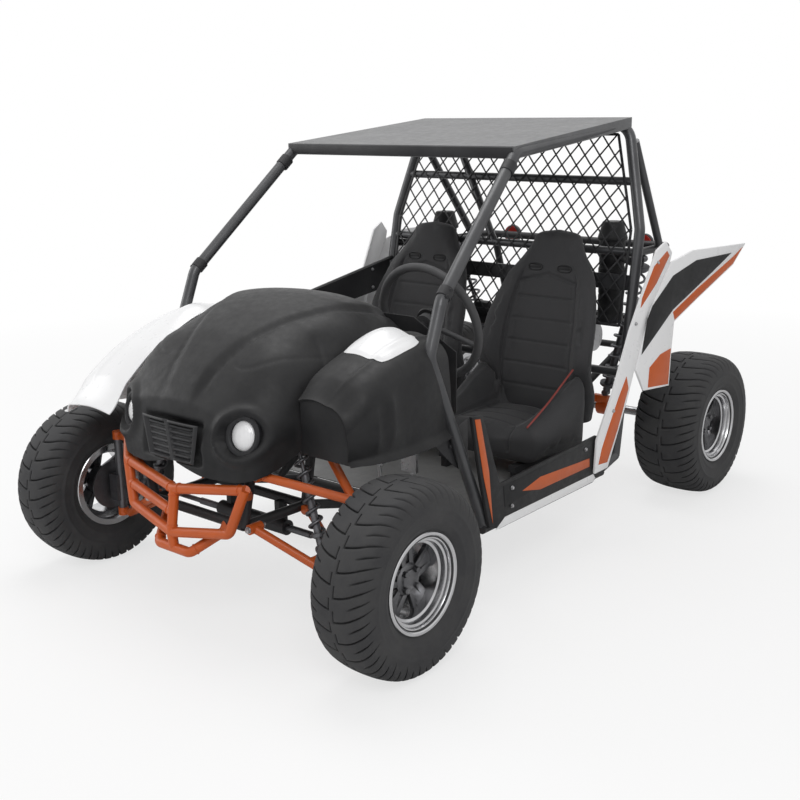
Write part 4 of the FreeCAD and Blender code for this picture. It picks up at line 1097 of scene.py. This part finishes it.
def back_sewn(point, normal):
    """Depth of the seams on the front of the back."""
    if normal.y > 0.2:
        return 0.0
    half = blend_rows(BACK_ROWS, point.z)[0]
    out = abs(point.x - SEAT_X)
    inner = half * 0.6
    depth = 0.007 * groove(out - inner, 0.008) * ease(0.4, 0.46, point.z) * ease(0.93, 0.89, point.z)
    depth += 0.006 * groove(point.z - 0.905 + 0.25 * out, 0.008) * ease(inner + 0.01, inner - 0.01, out)
    channel = min(abs(point.z - height) for height in (0.5, 0.58, 0.66, 0.74, 0.82))
    depth += 0.004 * groove(channel, 0.007) * ease(inner, inner - 0.02, out)
    return depth


def cushion_sewn(point, normal):
    """Depth of the seams on the top of the cushion."""
    if normal.z < -0.2:
        return 0.0
    out = abs(point.x - SEAT_X)
    along = point.y - FRONT
    depth = 0.007 * groove(out - 0.128, 0.008)
    channel = min(abs(along - place) for place in (0.95, 1.03, 1.11, 1.19))
    depth += 0.004 * groove(channel, 0.007) * ease(0.128, 0.108, out)
    return depth


def bezel_place(p):
    """A round ring becomes a flat slot with rounded ends."""
    x = copysign(abs(p.x) ** 0.7 * 0.0315 ** 0.3, p.x)
    z = copysign(abs(p.y) ** 0.8 * 0.027 ** 0.2, p.y) * 0.45
    return Vector((x, p.z, z))


seat_back = padded("seat_back_left", back_place, back_sewn)
seat_cushion = padded("seat_cushion_left", cushion_place, cushion_sewn)
CREST = ((0.9, 0.452), (0.96, 0.478), (1.04, 0.516), (1.12, 0.562), (1.185, 0.598))
piping = strand("seat_piping_left", [at(SEAT_X + 0.196, y, z) for y, z in CREST], 0.0032)
bezels = []
for shift in (-0.062, 0.062):
    x = SEAT_X + shift
    bpy.ops.mesh.primitive_torus_add(
        major_radius=0.027, minor_radius=0.0045, major_segments=40, minor_segments=10,
    )
    ring = settle(bpy.context.object)
    shape(ring, bezel_place)
    outward(ring)
    ring.data.transform(Matrix.Translation(at(x, 1.3315, 0.925)) @ Matrix.Rotation(radians(-12), 4, "X"))
    bezels += [ring, block(at(x - 0.026, 1.33, 0.916), at(x + 0.026, 1.34, 0.934), 0.003)]
harness_slots = joined("seat_slots_left", bezels)
for model in (seat_back, seat_cushion, piping, harness_slots):
    twin = copied(model, model.name.replace("left", "right"), flip=True)
    for piece, name in ((model, "left"), (twin, "right")):
        if model is piping:
            finish_piece(piece, "piping", slot="seat_fabric")
        elif model is harness_slots:
            finish_piece(piece, "black_plastic")
        else:
            replaced = ("seat_" + name,) if model is seat_back else ()
            finish_piece(piece, "seat_fabric", replaces=replaced, angle=60)

# Cage: the roof's dark front band, and collars and bolts on the pillars
BAND = ((-0.486, 1.3425), (0.486, 1.3425), (0.486, 1.3745), (-0.486, 1.3745))
roof_band = sheet_between([at(x, 0.7885, z) for x, z in BAND], 0.0032 * BACK, 0.001)
roof_band.name = "roof_band"
finish_piece(roof_band, "frame_black")
clamps = []
for side in (-1, 1):
    foot = at(side * 0.539, 0.362, 0.962)
    run = at(side * 0.482, 0.814, 1.355) - foot
    way = run.normalized()
    clamps.append(collar(foot + run * 0.86, way, 0.0188, 0.0235, 0.04))
    clamps.append(collar(foot + run * 0.02, way, 0.0188, 0.0225, 0.034))
    for share in (0.035, 0.075):
        place = foot + run * share + Vector((side * 0.0175, -0.01, 0))
        clamps.append(bolt(place, Vector((side, -0.35, 0)).normalized(), 0.0065))
finish_piece(joined("cage_clamps", clamps), "frame_black")

# Steering wheel: boss with screws
AXIS = Vector((0, cos(radians(16)), sin(radians(16))))
WHEEL = at(0.27, 0.648, 0.828)
BOSS = ((0, TIP), (0, 0.047), (0.006, 0.05), (0.014, 0.046), (0.02, 0.034), (0.022, 0.018), (0.022, TIP))
boss = [aimed(lathe(BOSS, 40), WHEEL - AXIS * 0.006, AXIS)]
for index in range(6):
    angle = 2 * pi * index / 6
    out = Vector((cos(angle), 0, sin(angle))) * 0.037
    out = out - AXIS * out.dot(AXIS)
    boss.append(bolt(WHEEL + out + AXIS * 0.01, AXIS, 0.0038))
finish_piece(joined("wheel_boss", boss), "black_plastic", "steering_wheel")

# Bumper and arms: weld beads, an end cap and pivot bolts
beads = []
BUMPER_TUBE = 0.0148
BEAD_SIZE = 0.0172
BEAD_PLACE = 0.017
LEFT_END, RIGHT_END = (0.262, -0.17, 0.478), (-0.262, -0.17, 0.47)
TOP, FOOT = (0, -0.208, 0.44), (0, -0.228, 0.312)
RAIL_END, RAIL_MIDDLE = (-0.24, -0.182, 0.405), (0, -0.218, 0.372)
for start, end in (
    (RIGHT_END, TOP), (TOP, RIGHT_END), (TOP, LEFT_END), (LEFT_END, TOP), (TOP, FOOT), (FOOT, TOP),
    (RAIL_END, RAIL_MIDDLE), (RAIL_MIDDLE, RAIL_END), ((-0.07, -0.222, 0.262), (-0.13, -0.14, 0.318)),
    ((0.07, -0.222, 0.262), (0.13, -0.14, 0.318)),
):
    way = (Vector(end) - Vector(start)).normalized()
    beads.append(collar(at(*start) + way * BEAD_PLACE, way, BUMPER_TUBE, BEAD_SIZE, 0.005))
finish_piece(joined("bumper_welds", beads), "orange_paint")
CAP = ((-0.001, TIP), (-0.001, 0.0145), (0.003, 0.015), (0.006, 0.0125), (0.007, TIP))
cap_way = Vector((-0.076, 0.066, 0.078)).normalized()
caps = [aimed(lathe(CAP, 28), at(-0.338, -0.104, 0.548), cap_way)]
for side in (-1, 1):
    for x, z in ((0.264, 0.506), (0.226, 0.341)):
        caps.append(bolt(at(side * x, -0.132, z), -BACK, 0.0085))
        caps.append(bolt(at(side * x, -0.08, z), BACK, 0.0085))
finish_piece(joined("front_bolts", caps), "steel")

# Engine: crankcase, finned cylinder, head, side covers and intake
parts = [
    block(at(-0.135, 1.462, 0.422), at(0.12, 1.738, 0.56), 0.02),
    block(at(-0.085, 1.53, 0.556), at(0.085, 1.67, 0.7), 0.006),
    block(at(-0.095, 1.518, 0.692), at(0.095, 1.682, 0.742), 0.014),
]
for index in range(9):
    height = 0.57 + 0.0135 * index
    parts.append(block(at(-0.108, 1.505, height), at(0.108, 1.695, height + 0.004), 0.0015))
NEAR_COVER = (
    (0, TIP), (0, 0.092), (0.014, 0.09), (0.02, 0.08), (0.022, 0.05), (0.027, 0.046), (0.028, TIP),
)
FAR_COVER = ((0, TIP), (0, 0.08), (0.01, 0.076), (0.014, 0.06), (0.014, TIP))
parts.append(aimed(lathe(NEAR_COVER, 56), at(0.12, 1.56, 0.515), LEFT))
parts.append(aimed(lathe(FAR_COVER, 56), at(-0.135, 1.6, 0.51), -LEFT))
for index in range(8):
    angle = 2 * pi * index / 8
    place = at(0.1335, 1.56 + 0.083 * cos(angle), 0.515 + 0.083 * sin(angle))
    parts.append(bolt(place, LEFT, 0.0052))
finish_piece(joined("engine_body", parts), "engine_metal", replaces=("engine",))
DUCT = ((-0.02, 1.525, 0.665), (-0.02, 1.49, 0.668), (-0.06, 1.475, 0.69), (-0.1, 1.475, 0.7))
intake = [
    strand("duct", [at(*place) for place in DUCT], 0.019, 5),
    block(at(-0.148, 1.455, 0.655), at(-0.085, 1.5, 0.745), 0.012),
]
finish_piece(joined("engine_intake", intake), "black_plastic")

# Silencer: end rings and straps
RINGS = ((-0.2255, 0.01), (-0.15, 0.016), (0.06, 0.016), (0.1405, 0.01))
rings = [collar(at(x, 1.905, 0.56), LEFT, 0.0575, 0.0605, length) for x, length in RINGS]
finish_piece(joined("silencer_rings", rings), "steel")

# Canisters: ribbed bodies, bands and caps
profile = [(0.7, TIP), (0.7, 0.044), (0.704, 0.048)]
for index in range(7):
    height = 0.735 + index * 0.036
    profile += [(height - 0.006, 0.048), (height, 0.0462), (height + 0.006, 0.048)]
profile += [
    (1.008, 0.048), (1.01, 0.0545), (1.016, 0.056), (1.022, 0.0545), (1.04, 0.049), (1.062, 0.0425),
    (1.074, 0.04), (1.078, 0.036), (1.078, TIP),
]
cans = []
for side in (-1, 1):
    can = lathe(profile, 48)
    can.data.transform(Matrix.Translation(at(side * 0.3945, 1.59, 0)) @ Matrix.Rotation(-pi / 2, 4, "Y"))
    cans.append(can)
    cans.append(collar(at(side * 0.3945, 1.59, 0.885), UP, 0.0475, 0.05, 0.02))
finish_piece(joined("canister_bodies", cans), "black_plastic", replaces=("canisters",))

# Tail lamps: rims
lamp_rims = [collar(at(x, 1.972, 0.952), BACK, 0.0355, 0.0395, 0.018) for x in (-0.32, 0.32)]
finish_piece(joined("tail_lamp_rims", lamp_rims), "frame_black")

# Pedals: ribbed treads
treads = []
for x in (0.19, 0.33):
    treads.append(block(at(x - 0.028, 0.4695, 0.384), at(x + 0.028, 0.4725, 0.448), 0.001))
    for index in range(6):
        low = 0.389 + index * 0.01
        treads.append(block(at(x - 0.025, 0.472, low), at(x + 0.025, 0.4755, low + 0.004), 0.0012))
finish_piece(joined("pedal_treads", treads), "tyre_rubber", slot="frame_black")

# Inner liners behind the front wheels, with two bolts each
LINER = ((0.3, 0.556), (0.385, 0.562), (0.474, 0.59), (0.478, 0.41), (0.402, 0.462))
for side, name in SIDES:
    liner = [side_plate(side, 0.5475, LINER, 0.003, 0.001)]
    for y, z in ((0.385, 0.525), (0.405, 0.508)):
        liner.append(bolt(at(side * 0.5505, y, z), side * LEFT, 0.006))
    finish_piece(joined("wheel_liner_" + name, liner), "frame_black")

# Side guard: a small orange tab and bolts along its sheet
TAB = ((0.9, 0.79), (1.0, 0.806), (1.008, 0.786), (0.92, 0.772))
tab = sheet_between([at(-0.5485, y, z) for y, z in TAB], 0.002 * LEFT, 0.0006)
tab.name = "guard_tab"
finish_piece(tab, "orange_paint")
GUARD = ((0.56, 0.68), (0.56, 0.735), (0.85, 0.722), (0.85, 0.785), (1.3, 0.785), (1.3, 0.858))
bolts = [bolt(at(-0.5478, y, z), LEFT, 0.0055) for y, z in GUARD]
for side in (-1, 1):
    for y, z in ((0.62, 0.345), (1.06, 0.362), (0.62, 0.285)):
        bolts.append(bolt(at(side * 0.6155, y, z), side * LEFT, 0.0055))
    for y, z in ((1.205, 0.47), (1.32, 0.76), (1.44, 0.96)):
        bolts.append(bolt(flared(side, y, z, 0.0098), Vector((side, -0.105, 0)).normalized(), 0.0055))
finish_piece(joined("panel_bolts", bolts), "steel")


# Mesh screen: two layers of crossing strands, cut to the hoop's outline, with a flat border
WAIST = 1.066
# Half the width and height of one diamond
DIAMOND = (0.031, 0.0375)


def screen_point(x, z, depth):
    """A point of the leaning screen. Depth is counted back from its front face."""
    rise = z - WAIST
    return at(x, 1.4664 + rise * 0.18666 + depth * 0.9824, WAIST + rise * 0.98245 - depth * 0.1867)


SCREEN = ((-0.536, 0.722), (0.536, 0.722), (0.536, WAIST), (0.438, 1.4), (-0.438, 1.4), (-0.536, WAIST))


def cut_to_screen(start, way):
    """The stretch of a line that lies inside the screen's outline, or nothing."""
    first, last = -10.0, 10.0
    for index, corner in enumerate(SCREEN):
        following = SCREEN[(index + 1) % len(SCREEN)]
        inward = Vector((corner[1] - following[1], following[0] - corner[0]))
        reach = inward.dot(Vector(corner) - start)
        rate = inward.dot(way)
        if rate > 1e-9:
            first = max(first, reach / rate)
        elif rate < -1e-9:
            last = min(last, reach / rate)
        elif reach > 0:
            return None
    return (first, last) if last - first > 0.012 else None


def flat_bar(start, end, wide, front, thick):
    """A flat bar in the screen's plane."""
    along = (end - start).normalized()
    beside = Vector((-along.y, along.x)) * wide / 2
    corners = [start + beside, end + beside, end - beside, start - beside]
    depth = screen_point(0, 1, thick) - screen_point(0, 1, 0)
    return sheet_between([screen_point(corner.x, corner.y, front) for corner in corners], depth, 0.0005)


wires = []
for lean, front in ((1, 0.0), (-1, 0.0012)):
    way = Vector((DIAMOND[0] * lean, DIAMOND[1])).normalized()
    for index in range(-32, 33):
        start = Vector((DIAMOND[0] * (2 * index + 1), 0.7615))
        stretch = cut_to_screen(start, way)
        if stretch:
            near, far = (start + way * reach for reach in stretch)
            wires.append(flat_bar(near, far, 0.006, front, 0.0018))
for index, corner in enumerate(SCREEN):
    following = SCREEN[(index + 1) % len(SCREEN)]
    wires.append(flat_bar(Vector(corner), Vector(following), 0.01, 0.0, 0.003))
finish_piece(joined("mesh_wires", wires), "frame_black", replaces=("mesh_screen",))

# Floor, sky and lamps. To the camera the floor turns white further out, so that no horizon shows.
bpy.ops.mesh.primitive_plane_add(size=120, location=(0, 0, 0))
floor = named("studio_floor")
floor_paint, tree, shader = blank("studio_floor")
feed(tree, shader, {"Base Color": colour((0.93, 0.93, 0.93)), "Roughness": 0.9, "Specular IOR Level": 0.1})
white = wired(tree, "ShaderNodeEmission", {"Color": colour((1, 1, 1)), "Strength": 1.0})
sight = wired(tree, "ShaderNodeLightPath")
away = wired(tree, "ShaderNodeVectorMath", {0: object_place(tree)}, operation="LENGTH").outputs["Value"]
fade = {"Value": away, "From Min": 1.6, "From Max": 5.0, "To Min": 0.7, "To Max": 1.0}
spread = wired(tree, "ShaderNodeMapRange", fade)
share = wired(
    tree, "ShaderNodeMath", {0: sight.outputs["Is Camera Ray"], 1: spread.outputs[0]}, operation="MULTIPLY",
)
seen = wired(tree, "ShaderNodeMixShader", {0: share.outputs[0], 1: shader.outputs[0], 2: white.outputs[0]})
tree.links.new(seen.outputs[0], tree.nodes["Material Output"].inputs["Surface"])
floor.data.materials.append(floor_paint)

world = bpy.data.worlds.new("studio")
bpy.context.scene.world = world
world.use_nodes = True
tree = world.node_tree
sky = tree.nodes["Background"]
feed(tree, sky, {"Color": colour((1, 1, 1)), "Strength": 0.42})
bright = wired(tree, "ShaderNodeBackground", {"Color": colour((1, 1, 1)), "Strength": 1.0})
path = wired(tree, "ShaderNodeLightPath")
rays = {0: path.outputs["Is Camera Ray"], 1: path.outputs["Is Glossy Ray"]}
sight = wired(tree, "ShaderNodeMath", rays, operation="MAXIMUM")
chosen = wired(tree, "ShaderNodeMixShader", {0: sight.outputs[0], 1: sky.outputs[0], 2: bright.outputs[0]})
tree.links.new(chosen.outputs[0], tree.nodes["World Output"].inputs["Surface"])

# Soft lights, which look at the buggy's middle: name, place, power, width
LIGHTS = (
    ("key_light", (3.5, -4.0, 4.5), 105, 2.5),
    ("top_light", (-1.0, 0.5, 5.5), 120, 3.5),
    ("side_light", (-4.5, -2.5, 2.5), 45, 2.5),
)
for name, place, power, width in LIGHTS:
    data = bpy.data.lights.new(name, "AREA")
    data.energy = power
    data.size = width
    lamp = bpy.data.objects.new(name, data)
    lamp.location = place
    lamp.rotation_euler = (0.5 * UP - Vector(place)).to_track_quat("-Z", "Y").to_euler()
    bpy.context.collection.objects.link(lamp)
